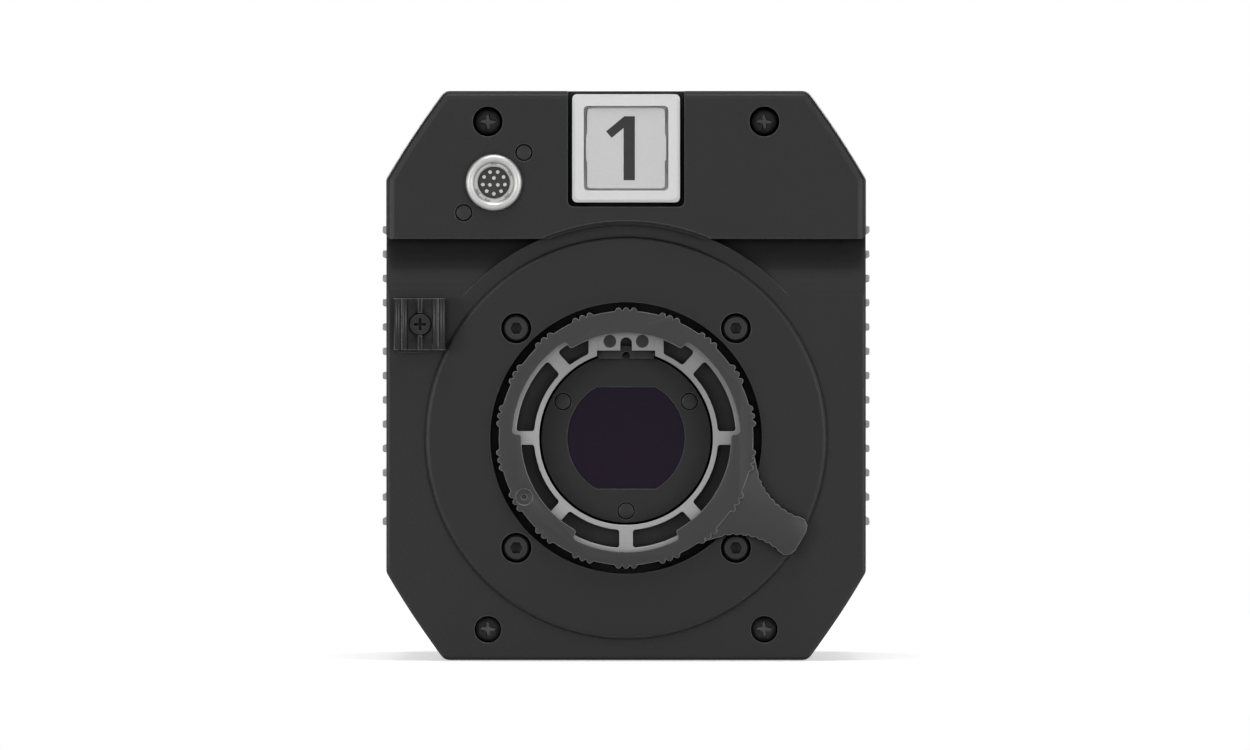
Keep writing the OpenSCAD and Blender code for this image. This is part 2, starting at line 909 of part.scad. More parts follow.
module mount_screws() {
  head_y = disc_y + mount_well_depth - m3_head_t;
  color(screw_grey)
    at_lens_axis()
      at_quadrants(mount_screw_x, mount_screw_x)
        difference() {
          union() {
            round_y(0, 0, m3_head_r, head_y, head_y + m3_head_t);
            round_y(0, 0, m3_r, head_y, panel_back_y);
          }
          translate([0, head_y + m3_hex_depth, 0])
            rotate([90, 0, 0])
              cylinder(r = m3_hex_r, h = m3_head_t, $fn = 6);
        }
}

rib_share = [0, 0.8, 1, 0.8];
rib_rest_steps = 4;
lug_gap_half = 28;
lug_corner_r = 0.7;
ring_screw_r = barrel_r;
ring_screw_angle = 210;
ring_screw_well_r = 1.75;
ring_screw_well_t = 0.4;
ring_screw_hole_r = 0.6;
// Where each side of the lever runs straight on into the ring
lever_fade = 1.45;
lever_fade_r = ring_r + lever_fade;
lever_root_l = 6;
serration_pitch = 1.6;
serration_rest = 3.2;

// Outline of the lock ring, with its ribs in groups of three
function ring_outline() =
  let (group = 360 / rib_groups, ribs = len(rib_share))
  [for (g = [0:rib_groups - 1])
    each concat(
      [for (k = [-1:1], i = [0:ribs - 1])
        let (a = 90 + g * group + (k - 0.5 + i / ribs) * rib_pitch_angle)
        (ring_r + rib_h * rib_share[i]) * [cos(a), sin(a)]],
      [for (i = [0:rib_rest_steps])
        let (a = 90 + g * group + 1.5 * rib_pitch_angle
          + i * (group - 3 * rib_pitch_angle) / (rib_rest_steps + 1))
        ring_r * [cos(a), sin(a)]]
    )];

// The opening inside the lugs, with the three bayonet gaps and rounded corners
module bayonet_opening() {
  offset(r = -lug_corner_r, $fn = corner_fn)
    offset(r = 2 * lug_corner_r, $fn = corner_fn)
      offset(delta = -lug_corner_r) {
        circle(r = lug_r, $fn = lens_fn);
        intersection() {
          circle(r = lug_gap_r, $fn = lens_fn);
          for (middle = third_angles)
            rotate(middle)
              polygon([
                [0, 0],
                2 * lug_gap_r * [cos(lug_gap_half), -sin(lug_gap_half)],
                2 * lug_gap_r * [cos(lug_gap_half), sin(lug_gap_half)],
              ]);
        }
      }
}

// One hollow side of the lever from its root to its tip, with its serrations
function lever_side() =
  let (
    middle = [lever_waist_r, lever_waist + lever_side_r],
    reach = norm(middle),
    r = lever_side_r,
    fade_a = acos((reach * reach + r * r - lever_fade_r * lever_fade_r) / (2 * reach * r)),
    root_a = atan2(middle[1], -middle[0]) - fade_a,
    root = middle + r * [cos(root_a), -sin(root_a)],
    tip_a = acos((lever_tip_r - lever_waist_r) / r),
    step_a = serration_pitch / r * 180 / PI,
    last_a = tip_a + serration_rest / r * 180 / PI,
    first_a = last_a + serrations * step_a
  )
  concat(
    [root + lever_root_l * [-sin(root_a), -cos(root_a)]],
    [for (i = [0:bow_steps - 1])
      let (a = root_a + (first_a - root_a) * i / bow_steps)
      middle + r * [cos(a), -sin(a)]],
    [for (i = [0:2 * serrations])
      let (a = first_a - i * step_a / 2)
      middle + (r + (i % 2) * serration_depth) * [cos(a), -sin(a)]]
  );

module lever_outline() {
  side = lever_side();
  n = len(side);
  end = side[n - 1];
  tip_slope = tan(acos((lever_tip_r - lever_waist_r) / lever_side_r));
  tip = [lever_tip_r, end[1] + (lever_tip_r - end[0]) / tip_slope];
  tip_points = rounded_corner(end, tip, [tip[0], 0], lever_corner_r, corner_steps);
  half = concat(side, tip_points);
  m = len(half);
  polygon(concat(half, [for (i = [m - 1:-1:0]) [half[i][0], -half[i][1]]]));
}

module lock_ring() {
  lever_y = ring_y + lever_drop;
  color(ring_grey)
    difference() {
      union() {
        along_y(ring_y, ring_back_y)
          on_lens_axis()
            polygon(ring_outline());
        along_y(lever_y, lever_y + lever_t)
          on_lens_axis()
            rotate(-lever_angle)
              lever_outline();
      }
      along_y(ring_y - over, lug_back_y + over)
        on_lens_axis()
          bayonet_opening();
      round_y(0, lens_z, barrel_r + ring_fit, lug_back_y, ring_back_y + over);
      turned_y(0, lens_z)
        translate([barrel_r - over, retainer_y - retainer_gap])
          square([over + retainer_depth + retainer_gap, retainer_t + 2 * retainer_gap]);
      translate([ring_screw_r * cos(ring_screw_angle), 0, lens_z + ring_screw_r * sin(ring_screw_angle)]) {
        round_y(0, 0, ring_screw_well_r, ring_y - over, ring_y + ring_screw_well_t);
        round_y(0, 0, ring_screw_hole_r, ring_y - over, ring_y + 2 * ring_screw_well_t);
      }
    }
}

module ring_retainer() {
  color(satin_metal)
    turned_y(0, lens_z)
      translate([barrel_r - retainer_depth, retainer_y])
        square([2 * retainer_depth, retainer_t]);
}

window_corner_r = 0.6;
window_fn = 72;
corner_fn = 16;
spoke_angles = [0, 48, 132, 180, 228, 270, 312];

// The windows between the flange ring's spokes, with rounded corners
module flange_windows() {
  offset(r = window_corner_r, $fn = corner_fn)
    offset(delta = -window_corner_r)
      difference() {
        circle(r = window_out_r, $fn = window_fn);
        circle(r = window_in_r, $fn = window_fn);
        for (a = spoke_angles)
          rotate(a)
            translate([0, -spoke_w / 2])
              square([flange_r, spoke_w]);
        translate([-pad_half_w, 0])
          square([2 * pad_half_w, flange_r]);
      }
}

module flange_ring() {
  color(satin_metal)
    difference() {
      round_y(0, lens_z, flange_r, flange_y, barrel_y);
      round_y(0, lens_z, throat_r, flange_y - over, barrel_y + over);
      along_y(flange_y - over, barrel_y + over)
        on_lens_axis() {
          flange_windows();
          translate([-index_half_w, 0])
            square([2 * index_half_w, index_low + index_h]);
        }
    }
}

module index_block() {
  color(satin_metal)
    along_y(flange_y, barrel_y)
      on_lens_axis()
        difference() {
          translate([-index_half_w, index_low])
            square([2 * index_half_w, index_h]);
          translate([0, index_slot_top - index_slot_w / 2])
            circle(d = index_slot_w);
          translate([-index_slot_w / 2, index_low - over])
            square([index_slot_w, index_slot_top - index_slot_w / 2 - index_low + over]);
          for (side = [-1, 1])
            translate([side * index_pin_x, index_pin_z])
              circle(r = index_pin_r);
        }
}

module index_pins() {
  color(screw_grey)
    for (side = [-1, 1])
      translate([side * index_pin_x, 0, lens_z + index_pin_z]) {
        round_y(0, 0, index_pin_r, flange_y, barrel_y);
        round_y(0, 0, index_thread_r, flange_y, barrel_y + index_thread_depth);
      }
}

glass_sink = 0.4;
glass_t = 1.6;
aperture_lip = 0.5;
aperture_r = glass_half_h - aperture_lip;
plug_r = 1.6;
plug_well_r = 1.85;
plug_inset = 2.45;
plug_circle_r = filter_face_r - plug_inset;
plug_t = 1.2;
plug_sink = 0.15;
tunnel_r = 15;
tunnel_wall = 2.5;
frame_plate_t = 6;
frame_w = 44;
chip_w = 26;
chip_h = 20;
chip_t = 2.4;
chip_window_share = 0.75;
board_socket_w = 7.2;
board_t = 1.6;

// The places of the three plugs in the filter holder's face
module at_plugs() {
  for (a = third_angles)
    translate([plug_circle_r * cos(a), 0, lens_z + plug_circle_r * sin(a)])
      children();
}

module glass_outline() {
  on_lens_axis()
    intersection() {
      circle(r = glass_r, $fn = lens_fn);
      square([2 * glass_r, 2 * glass_half_h], center = true);
    }
}

module filter_holder() {
  color(case_black)
    difference() {
      union() {
        round_y(0, lens_z, filter_face_r, filter_y, plate_back_y + holder_flange_t);
        round_y(0, lens_z, holder_flange_r, plate_back_y, plate_back_y + holder_flange_t);
      }
      along_y(filter_y - over, filter_y + glass_sink + glass_t)
        glass_outline();
      round_y(0, lens_z, aperture_r, filter_y, plate_back_y + holder_flange_t + over);
      at_plugs()
        round_y(0, 0, plug_well_r, filter_y - over, filter_y + plug_sink + plug_t);
      at_holder()
        translate([0, 0, -over])
          cylinder(r = m2_r, h = holder_screw_l);
    }
}

// The plugs in the face and the screws behind the flange
module filter_screws() {
  color(screw_grey) {
    at_plugs()
      round_y(0, 0, plug_r, filter_y + plug_sink, filter_y + plug_sink + plug_t);
    at_holder()
      difference() {
        union() {
          translate([0, 0, -m2_head_t])
            cylinder(r = m2_head_r, h = m2_head_t);
          cylinder(r = m2_r, h = holder_screw_l);
        }
        translate([0, 0, -m2_head_t])
          cross_recess(m2_head_r, m2_head_t);
      }
  }
}

module optical_filter() {
  color(glass_tint)
    along_y(filter_y + glass_sink, filter_y + glass_sink + glass_t)
      glass_outline();
}

module sensor_frame() {
  from = plate_back_y + holder_flange_t;
  color(satin_metal)
    difference() {
      union() {
        round_y(0, lens_z, tunnel_r, from, sensor_y - frame_plate_t / 2);
        block_y(0, lens_z, frame_w, frame_w, sensor_y - frame_plate_t, sensor_y);
      }
      round_y(0, lens_z, tunnel_r - tunnel_wall, from - over, sensor_y - frame_plate_t);
      block_y(0, lens_z, chip_w * chip_window_share, chip_h * chip_window_share,
        sensor_y - frame_plate_t - over, sensor_y + over);
    }
}

module sensor_chip() {
  color(glass_tint)
    block_y(0, lens_z, chip_w, chip_h, sensor_y, sensor_y + chip_t);
}

module sensor_board() {
  color(board_green) {
    block_y(0, lens_z, frame_w, frame_w, sensor_y + chip_t, sensor_y + chip_t + board_t);
    for (side = [-1, 1])
      block_y(side * (frame_w - chip_w) / 2, lens_z, board_socket_w, chip_h,
        sensor_y + chip_t + board_t / 2, sensor_y + 2 * chip_t + board_t);
  }
}

// Lens connector

connector_back_l = 11;
collar_drop = 0.8;
collar_t = 2;
collar_w = 0.5;
collar_root_share = 0.25;
key_w = 1.1;
key_angles = [90, 30, -45, -110, -150];
insert_r = 3.3;
insert_sink = 0.6;
outer_contacts = 9;
contact_r = 0.38;
contact_ring_r = 2.38;
contact_core_r = 0.97;
contact_l = 2;
contact_proud = 0.15;

module at_connector() {
  translate([-connector_x, 0, connector_z])
    children();
}

// The nine outer and three inner contacts of the lens connector
module at_contacts() {
  at_connector() {
    for (i = [0:outer_contacts - 1])
      let (a = 70 - 360 * i / outer_contacts)
      translate([contact_ring_r * cos(a), 0, contact_ring_r * sin(a)])
        children();
    for (a = [90, -30, -150])
      translate([contact_core_r * cos(a), 0, contact_core_r * sin(a)])
        children();
  }
}

module connector_shell() {
  lip = connector_r - socket_r;
  lip_y = front_y - connector_proud + lip / 2;
  collar_y = front_y - connector_proud + collar_drop;
  color(bright_metal)
    union() {
      turned_y(-connector_x, connector_z) {
        translate([socket_r, lip_y])
          square([lip, front_y + connector_back_l - lip_y]);
        translate([socket_r + lip / 2, lip_y])
          circle(d = lip);
      }
      along_y(collar_y, collar_y + collar_t)
        translate([-connector_x, connector_z])
          difference() {
            circle(r = socket_r + lip * collar_root_share);
            circle(r = socket_r - collar_w);
            for (a = key_angles)
              rotate(a)
                translate([0, -key_w / 2])
                  square([socket_r, key_w]);
          }
    }
}

module connector_insert() {
  insert_y = front_y - connector_proud + collar_drop + insert_sink;
  base_y = front_y - connector_proud + collar_drop + collar_t;
  color(rubber_black)
    difference() {
      union() {
        round_y(-connector_x, connector_z, insert_r, insert_y, front_y + connector_back_l);
        round_y(-connector_x, connector_z, socket_r, base_y, front_y + connector_back_l);
      }
      at_contacts()
        round_y(0, 0, contact_r, insert_y - over, insert_y + contact_l);
    }
}

module connector_pins() {
  insert_y = front_y - connector_proud + collar_drop + insert_sink;
  color(brass)
    at_contacts()
      round_y(0, 0, contact_r, insert_y - contact_proud, insert_y + contact_l);
}

module connector_screws() {
  face_y = front_y + connector_screw_sink;
  color(screw_grey)
    for (side = [-1, 1])
      round_y(-connector_x + side * connector_screw_pitch,
        connector_z + side * connector_screw_pitch, connector_screw_r,
        face_y, face_y + connector_screw_t);
}

// Tally window and number plate

tally_proud = 0.8;
tally_bevel = 0.55;
tally_corner_r = 1;
pane_depth = 2.3;
pane_corner_r = 0.8;
pane_lead_in = 0.15;
plate_sink = 0.6;
plate_corner_r = 0.75;
plate_play = 0.3;
tab_h = 5.5;
tab_z = 0.1;
digit_t = 0.3;
digit_stem_w = 2.4;
digit_h = 13.6;
digit_flag_w = 3.72;
digit_flag_drop = 3.2;
digit_flag_t = 1.83;
digit_shift = 0.67;
digit_corner = 0.15;
digit_flag_lean = 50;
digit_root_share = 1.37;
tally_board_t = 1;

module tally_frame() {
  tally_y = front_y - tally_proud;
  color(lamp_white)
    difference() {
      hull() {
        along_y(tally_y, tally_y + sliver)
          translate([0, tally_z])
            rounded_plate(tally_w - 2 * tally_bevel, tally_h - 2 * tally_bevel, tally_corner_r);
        along_y(tally_y + tally_bevel, front_y + tally_depth - tally_board_t)
          translate([0, tally_z])
            rounded_plate(tally_w, tally_h, tally_corner_r);
      }
      hull() {
        along_y(tally_y - sliver, tally_y)
          translate([0, tally_z])
            rounded_plate(pane_w + 2 * pane_lead_in, pane_w + 2 * pane_lead_in, pane_corner_r);
        along_y(tally_y + pane_lead_in, tally_y + pane_depth)
          translate([0, tally_z])
            rounded_plate(pane_w, pane_w, pane_corner_r);
      }
    }
}

// The small board of lamps behind the window
module tally_board() {
  color(board_green)
    block_y(0, tally_z, tally_w - 2 * tally_bevel, tally_h - 2 * tally_bevel,
      front_y + tally_depth - tally_board_t, front_y + tally_depth);
}

module digit_outline() {
  stem_x = digit_shift + digit_stem_w / 2;
  root_x = stem_x - digit_stem_w;
  flag_x = root_x - digit_flag_w;
  translate([0, tally_z])
    polygon([
      [stem_x, -digit_h / 2],
      [stem_x, digit_h / 2],
      [root_x + digit_corner, digit_h / 2],
      [flag_x, digit_h / 2 - digit_flag_drop],
      [flag_x + digit_flag_t * cos(digit_flag_lean),
        digit_h / 2 - digit_flag_drop - digit_flag_t * sin(digit_flag_lean)],
      [root_x, digit_h / 2 - digit_flag_t * digit_root_share],
      [root_x, -digit_h / 2],
    ]);
}

module number_plate() {
  plate_y = front_y - tally_proud + plate_sink;
  color(plate_white)
    difference() {
      along_y(plate_y, plate_y + plate_t) {
        translate([0, tally_z])
          rounded_plate(plate_w, plate_h, plate_corner_r);
        translate([0, tally_z + tab_z])
          square([pane_w - 2 * plate_play, tab_h], center = true);
      }
      along_y(plate_y - over, plate_y + digit_t)
        digit_outline();
    }
}

module number_digit() {
  plate_y = front_y - tally_proud + plate_sink;
  color(digit_grey)
    along_y(plate_y, plate_y + digit_t)
      digit_outline();
}

// Cable clamp

clamp_base_t = 1.4;
clamp_wall_t = 1.75;
lip_bead_r = 0.75;
lip_y_share = 0.8;
clamp_rib_w = 0.85;
clamp_rib_t = 1;
clamp_head_r = 2.2;
clamp_head_t = 1.6;
clamp_well_r = 2.45;

// Half of the clamp's open profile, in x and depth from its back
module clamp_half() {
  leg_w = (clamp_w - channel_w) / 2;
  translate([0, -clamp_base_t])
    square([clamp_w / 2, clamp_base_t]);
  translate([clamp_w / 2 - clamp_wall_t, lip_bead_r - clamp_d])
    square([clamp_wall_t, clamp_d - lip_bead_r]);
  translate([clamp_w / 2 - lip_bead_r, lip_bead_r - clamp_d])
    circle(r = lip_bead_r);
  translate([channel_w / 2 + lip_bead_r, 2 * lip_bead_r - clamp_d])
    circle(r = lip_bead_r);
  translate([channel_w / 2 + lip_bead_r, lip_bead_r - clamp_d * lip_y_share])
    square([leg_w - lip_bead_r, lip_bead_r]);
  translate([0, -clamp_base_t - clamp_rib_t])
    square([clamp_rib_w / 2, clamp_rib_t + clamp_base_t / 2]);
}

module cable_clamp() {
  color(rubber_black)
    difference() {
      translate([-clamp_x, lower_y - clamp_seat, clamp_z - clamp_w / 2])
        linear_extrude(clamp_w) {
          clamp_half();
          mirror([1, 0])
            clamp_half();
        }
      round_y(-clamp_x, clamp_z, clamp_screw_r, front_y - clamp_d, lower_y);
      round_y(-clamp_x, clamp_z, clamp_well_r, front_y - clamp_d,
        lower_y - clamp_seat - clamp_base_t / 2);
    }
}

module clamp_screw() {
  head_y = lower_y - clamp_seat - clamp_base_t / 2 - clamp_head_t;
  color(screw_grey)
    difference() {
      union() {
        round_y(-clamp_x, clamp_z, clamp_head_r, head_y, head_y + clamp_head_t);
        round_y(-clamp_x, clamp_z, clamp_screw_r, head_y, lower_y + clamp_screw_depth - over);
      }
      translate([-clamp_x, head_y, clamp_z])
        rotate([-90, 0, 0])
          cross_recess(clamp_head_r, clamp_head_t);
    }
}

// Boards

board_margin = 5;
sensor_room = 10;
rear_room = 24;
board_front_y = sensor_y + sensor_room;
board_back_y = rear_front_y - rear_room;
package_low_share = 0.35;
package_step_share = 0.25;
package_l_share = 0.6;
capacitor_r = 5;
capacitor_h = 10;
capacitor_inset = 10;
chip_block_t = 3;
power_board_z = boss_top_z;

// A row of packages on a board that stands along the body
module packages(x, side, count) {
  pitch = (board_back_y - board_front_y) / count;
  for (i = [0:count - 1])
    block_y(x + side * (board_t + chip_block_t) / 2,
      body_h * (package_low_share + package_step_share * (i % 2)),
      chip_block_t + board_t, body_h * package_step_share / 2,
      board_front_y + pitch * i + board_margin,
      board_front_y + pitch * (i + package_l_share) + board_margin);
}

// A board fixed to the inner faces of the rails on one side
module side_board(side, count) {
  x = side * (corner_screw_x - rail_w / 2 - board_t / 2);
  color(board_green) {
    block_y(x, body_h / 2, board_t, body_h - 2 * (wall + board_margin),
      board_front_y, board_back_y);
    packages(x, -side, count);
  }
}

module main_board() {
  side_board(-1, 4);
}

module video_board() {
  side_board(1, 3);
}

module power_board() {
  half_w = corner_screw_x - rail_w / 2 - board_t;
  color(board_green) {
    translate([-half_w, board_front_y, power_board_z])
      cube([2 * half_w, board_back_y - board_front_y, board_t]);
    for (side = [-1, 1])
      translate([side * half_w / 2, board_back_y - capacitor_inset, power_board_z])
        cylinder(r = capacitor_r, h = capacitor_h);
  }
}

// Fan

fan_t = 10;
fan_bore_gap = 1.4;
fan_blade_gap = 0.8;
fan_hub_r = 8.5;
fan_hub_wall = 1;
fan_web_t = 1.5;
fan_arm_w = 2.5;
fan_arms = 3;
fan_shaft_r = 1.5;
fan_boss_r = 3.4;
fan_fit = 0.05;
fan_hole_share = 0.4;
fan_hole_x = fan_w * fan_hole_share;
fan_hole_r = 1.6;
fan_blade_t = 0.9;
fan_blade_tilt = 40;
fan_y = rear_front_y - fan_t;
fan_bore_r = fan_w / 2 - fan_bore_gap;

module fan_frame() {
  color(rubber_black)
    difference() {
      union() {
        difference() {
          block_y(0, fan_z, fan_w, fan_w, fan_y, rear_front_y);
          round_y(0, fan_z, fan_bore_r, fan_y - over, rear_front_y + over);
        }
        along_y(rear_front_y - fan_web_t, rear_front_y)
          translate([0, fan_z]) {
            circle(r = fan_hub_r);
            for (i = [0:fan_arms - 1])
              rotate(90 + i * 360 / fan_arms)
                translate([0, -fan_arm_w / 2])
                  square([fan_bore_r + fan_bore_gap / 2, fan_arm_w]);
          }
        round_y(0, fan_z, fan_boss_r, fan_y + 2 * fan_web_t, rear_front_y);
      }
      round_y(0, fan_z, fan_shaft_r + fan_fit, fan_y, rear_front_y + over);
      translate([0, 0, fan_z])
        at_quadrants(fan_hole_x, fan_hole_x)
          round_y(0, 0, fan_hole_r, fan_y - over, rear_front_y + over);
    }
}

module fan_rotor() {
  hub_y = fan_y + fan_blade_gap;
  back_y = rear_front_y - fan_web_t - fan_blade_gap;
  color(rubber_black) {
    difference() {
      union() {
        round_y(0, fan_z, fan_hub_r, hub_y, back_y);
        intersection() {
          translate([0, (hub_y + back_y) / 2, fan_z])
            for (i = [0:fan_blades - 1])
              rotate([0, i * 360 / fan_blades, 0])
                translate([(fan_hub_r + fan_bore_r) / 2, 0, 0])
                  rotate([fan_blade_tilt, 0, 0])
                    cube([fan_bore_r - fan_hub_r + 2 * fan_hub_wall, fan_t * 2, fan_blade_t],
                      center = true);
          round_y(0, fan_z, fan_bore_r - fan_blade_gap, hub_y, back_y);
        }
      }
      round_y(0, fan_z, fan_hub_r - fan_hub_wall, hub_y + fan_hub_wall, back_y + over);
    }
    round_y(0, fan_z, fan_shaft_r, hub_y + fan_hub_wall / 2, rear_front_y - fan_web_t);
  }
}

// Rear panel

field_r = 3;
grille_r_share = 0.46;
grille_slot = 2;
grille_pitch = 4;
grille_rows = 4;
jacks = 4;
jack_r = 4.8;
jack_nut_r = 7.2;
jack_nut_t = 2.4;
jack_in_l = 14;
jack_bore_r = 4.1;
jack_bore_depth = 9;
jack_core_r = 2.4;
jack_pin_r = 0.7;
lug_pin_r = 0.9;
lug_pin_reach = 1;
lug_pin_inset = 3.4;
inlet_w = 25;
inlet_h = 31;
inlet_flange_t = 2;
inlet_r = 11.5;
inlet_bore_r = 7.8;
inlet_bore_depth = 12;
inlet_in_l = 16;
inlet_pin_r = 1;
inlet_pin_x = 3.076;
inlet_pin_l = 10;
inlet_screw_x = 9.5;
inlet_screw_z = 12.5;
inlet_screw_r = 1.6;
remote_x = 2;
remote_r = 7;
remote_nut_r = 8.3;
remote_nut_t = 2.2;
remote_proud = 3.5;
remote_bore_r = 5.3;
remote_bore_depth = 6;
remote_insert_t = 2;
remote_pins = 10;
remote_pin_r = 0.5;
remote_pin_circle_r = 3.6;
network_side = 12.5;
network_x = rear_field_x - network_side;
network_w = 16.5;
network_h = 15;
network_in_l = 18;
network_proud = 1.2;
network_slot_w = 11.8;
network_slot_h = 8.4;
network_slot_depth = 13;
network_key_w = 6.2;
network_key_h = 2.6;
rear_well_depth = 3;

module at_jacks() {
  pitch = 2 * rear_field_x / jacks;
  for (i = [0:jacks - 1])
    translate([(i - (jacks - 1) / 2) * pitch, 0, jack_z])
      children();
}

module at_inlet() {
  translate([-inlet_x, 0, inlet_z])
    children();
}

control_rise = 9;
control_fall = 8;
control_low_fall = 17;
control_drop = 2;
control_high_z = fan_z + control_rise;
control_mid_z = fan_z - control_fall;
control_low_z = fan_z - control_low_fall;

rocker_w = 10;
rocker_h = 14;
rocker_play = 0.4;
rocker_root_share = 0.25;
bezel_w = 14;
bezel_h = 19;
bezel_t = 1.5;
bezel_depth = 7;
rocker_axis_depth = 2;
rocker_pin_r = 1;
rocker_pin_fit = 0.05;
button_r = 2.5;
button_play = 0.3;
button_proud = 2;
button_rim_r = 3.3;
button_rim_t = 1;
lamp_r = 1.5;
lamp_proud = 0.6;
dial_r = 5.5;
dial_t = 6;
dial_ribs = 24;
dial_rib_h = 0.35;
dial_gap = 0.6;
bush_r = 3;
bush_proud = 1.5;
dial_shaft_r = 1.5;
control_fit = 0.05;
toggle_bush_r = 3.6;
toggle_bush_proud = 3;
toggle_bore_r = 2.5;
toggle_ball_gap = 0.3;
toggle_ball_r = toggle_bore_r - toggle_ball_gap;
toggle_neck_r = 0.9;
toggle_tip_r = 1.5;
toggle_l = 12;
floor_y = rear_front_y;

module rear_panel() {
  color(case_black)
    difference() {
      mirror([0, 1, 0])
        eased_slab(-rear_y, -rear_front_y, hood_fillet);
      along_y(field_y, rear_y + over)
        translate([0, body_h / 2])
          rounded_plate(2 * rear_field_x, body_h - 2 * rear_field_margin, field_r);
      at_corner_screws() {
        round_y(0, 0, m3_r + screw_play, rear_front_y - over, rear_y + over);
        round_y(0, 0, lower_well_r, rear_y - rear_well_depth, rear_y + over);
      }
      along_y(floor_y - over, field_y + over)
        translate([0, fan_z])
          intersection() {
            circle(r = fan_w * grille_r_share);
            for (i = [-grille_rows:grille_rows])
              translate([0, i * grille_pitch])
                square([fan_w, grille_slot], center = true);
          }
      at_jacks()
        round_y(0, 0, jack_r, floor_y - over, field_y + over);
      at_inlet()
        round_y(0, 0, inlet_r, floor_y - over, field_y + over);
      round_y(remote_x, inlet_z, remote_r, floor_y - over, field_y + over);
      block_y(network_x, inlet_z, network_w, network_h, floor_y - over, field_y + over);
      block_y(-control_x, control_high_z, bezel_w - 2 * bezel_t, bezel_h - 2 * bezel_t,
        floor_y - over, field_y + over);
      for (z = [control_mid_z, control_low_z])
        round_y(-control_x, z - control_drop, button_r + button_play,
          floor_y - over, field_y + over);
      round_y(control_x, control_high_z, bush_r, floor_y - over, field_y + over);
      round_y(control_x, control_mid_z, toggle_bush_r, floor_y - over, field_y + over);
      round_y(control_x, control_low_z, lamp_r, floor_y - over, field_y + over);
    }
}

module rear_screws() {
  color(screw_grey)
    at_corner_screws()
      translate([0, rear_y - rear_well_depth + corner_head_t, 0])
        rotate([90, 0, 0])
          difference() {
            union() {
              cylinder(r = corner_head_r, h = corner_head_t);
              cylinder(r = m3_r, h = rear_depth - rear_well_depth + corner_head_t
                + thread_depth - over);
            }
            cross_recess(corner_head_r, corner_head_t);
          }
}

module coaxial_jacks() {
  end_y = field_y + jack_l;
  color(satin_metal)
    at_jacks()
      difference() {
        union() {
          round_y(0, 0, jack_r, field_y - jack_in_l, end_y);
          translate([0, field_y + jack_nut_t, 0])
            rotate([90, 0, 0])
              cylinder(r = jack_nut_r, h = jack_nut_t, $fn = 6);
          translate([0, end_y - lug_pin_inset, 0])
            cylinder(r = lug_pin_r, h = 2 * (jack_r + lug_pin_reach), center = true);
        }
        round_y(0, 0, jack_bore_r, end_y - jack_bore_depth, end_y + over);
      }
}

module coaxial_cores() {
  end_y = field_y + jack_l;
  color(lamp_white)
    at_jacks()
      difference() {
        round_y(0, 0, jack_core_r, end_y - jack_bore_depth, end_y - over);
        round_y(0, 0, jack_pin_r, end_y - jack_bore_depth / 2, end_y + over);
      }
}

module power_inlet() {
  face_y = field_y + inlet_flange_t;
  color(rubber_black)
    at_inlet()
      difference() {
        union() {
          along_y(field_y, face_y)
            rounded_plate(inlet_w, inlet_h, field_r);
          round_y(0, 0, inlet_r, face_y - inlet_in_l, face_y);
        }
        round_y(0, 0, inlet_bore_r, face_y - inlet_bore_depth, face_y + over);
        at_quadrants(inlet_pin_x, inlet_pin_x)
          round_y(0, 0, inlet_pin_r, face_y - inlet_bore_depth - inlet_flange_t, face_y);
        for (side = [-1, 1])
          round_y(side * inlet_screw_x, side * inlet_screw_z, inlet_screw_r,
            field_y - over, face_y + over);
      }
}

module inlet_pins() {
  face_y = field_y + inlet_flange_t;
  color(brass)
    at_inlet()
      at_quadrants(inlet_pin_x, inlet_pin_x)
        round_y(0, 0, inlet_pin_r, face_y - inlet_bore_depth - inlet_flange_t,
          face_y - inlet_bore_depth + inlet_pin_l);
}

module remote_socket() {
  color(satin_metal)
    translate([remote_x, 0, inlet_z])
      difference() {
        union() {
          round_y(0, 0, remote_r, field_y - inlet_in_l, field_y + remote_proud);
          round_y(0, 0, remote_nut_r, field_y, field_y + remote_nut_t);
        }
        round_y(0, 0, remote_bore_r, field_y + remote_proud - remote_bore_depth,
          field_y + remote_proud + over);
      }
}

module remote_insert() {
  base_y = field_y + remote_proud - remote_bore_depth;
  color(rubber_black)
    translate([remote_x, 0, inlet_z])
      difference() {
        round_y(0, 0, remote_bore_r, base_y, base_y + remote_insert_t);
        for (i = [0:remote_pins - 1])
          let (a = 360 * i / remote_pins)
          round_y(remote_pin_circle_r * cos(a), remote_pin_circle_r * sin(a), remote_pin_r,
            base_y + over, base_y + remote_bore_depth);
      }
}

module network_jack() {
  face_y = field_y + network_proud;
  color(satin_metal)
    translate([network_x, 0, inlet_z])
      difference() {
        block_y(0, 0, network_w, network_h, face_y - network_in_l, face_y);
        block_y(0, 0, network_slot_w, network_slot_h, face_y - network_slot_depth, face_y + over);
        block_y(0, -(network_slot_h + network_key_h) / 2, network_key_w, network_key_h + sliver,
          face_y - network_slot_depth, face_y + over);
      }
}

// A rocker whose two faces slope to each side, pivoted in its bezel
module power_rocker() {
  axis_y = field_y + bezel_t - rocker_axis_depth;
  color(rubber_black)
    translate([-control_x, axis_y, control_high_z])
      rotate([rocker_tilt / 2, 0, 0])
        difference() {
          translate([-rocker_w / 2 + rocker_play, 0, 0])
            rotate([90, 0, 90])
              linear_extrude(rocker_w - 2 * rocker_play)
                polygon([
                  [-rocker_axis_depth, -rocker_h * rocker_root_share],
                  [rocker_axis_depth, -rocker_h / 2],
                  [rocker_axis_depth + bezel_t, -rocker_h / 2 + rocker_play],
                  [rocker_axis_depth, 0],
                  [rocker_axis_depth + bezel_t, rocker_h / 2 - rocker_play],
                  [rocker_axis_depth, rocker_h / 2],
                  [-rocker_axis_depth, rocker_h * rocker_root_share],
                ]);
          rotate([0, 90, 0])
            cylinder(r = rocker_pin_r + rocker_pin_fit, h = rocker_w + over, center = true);
        }
}

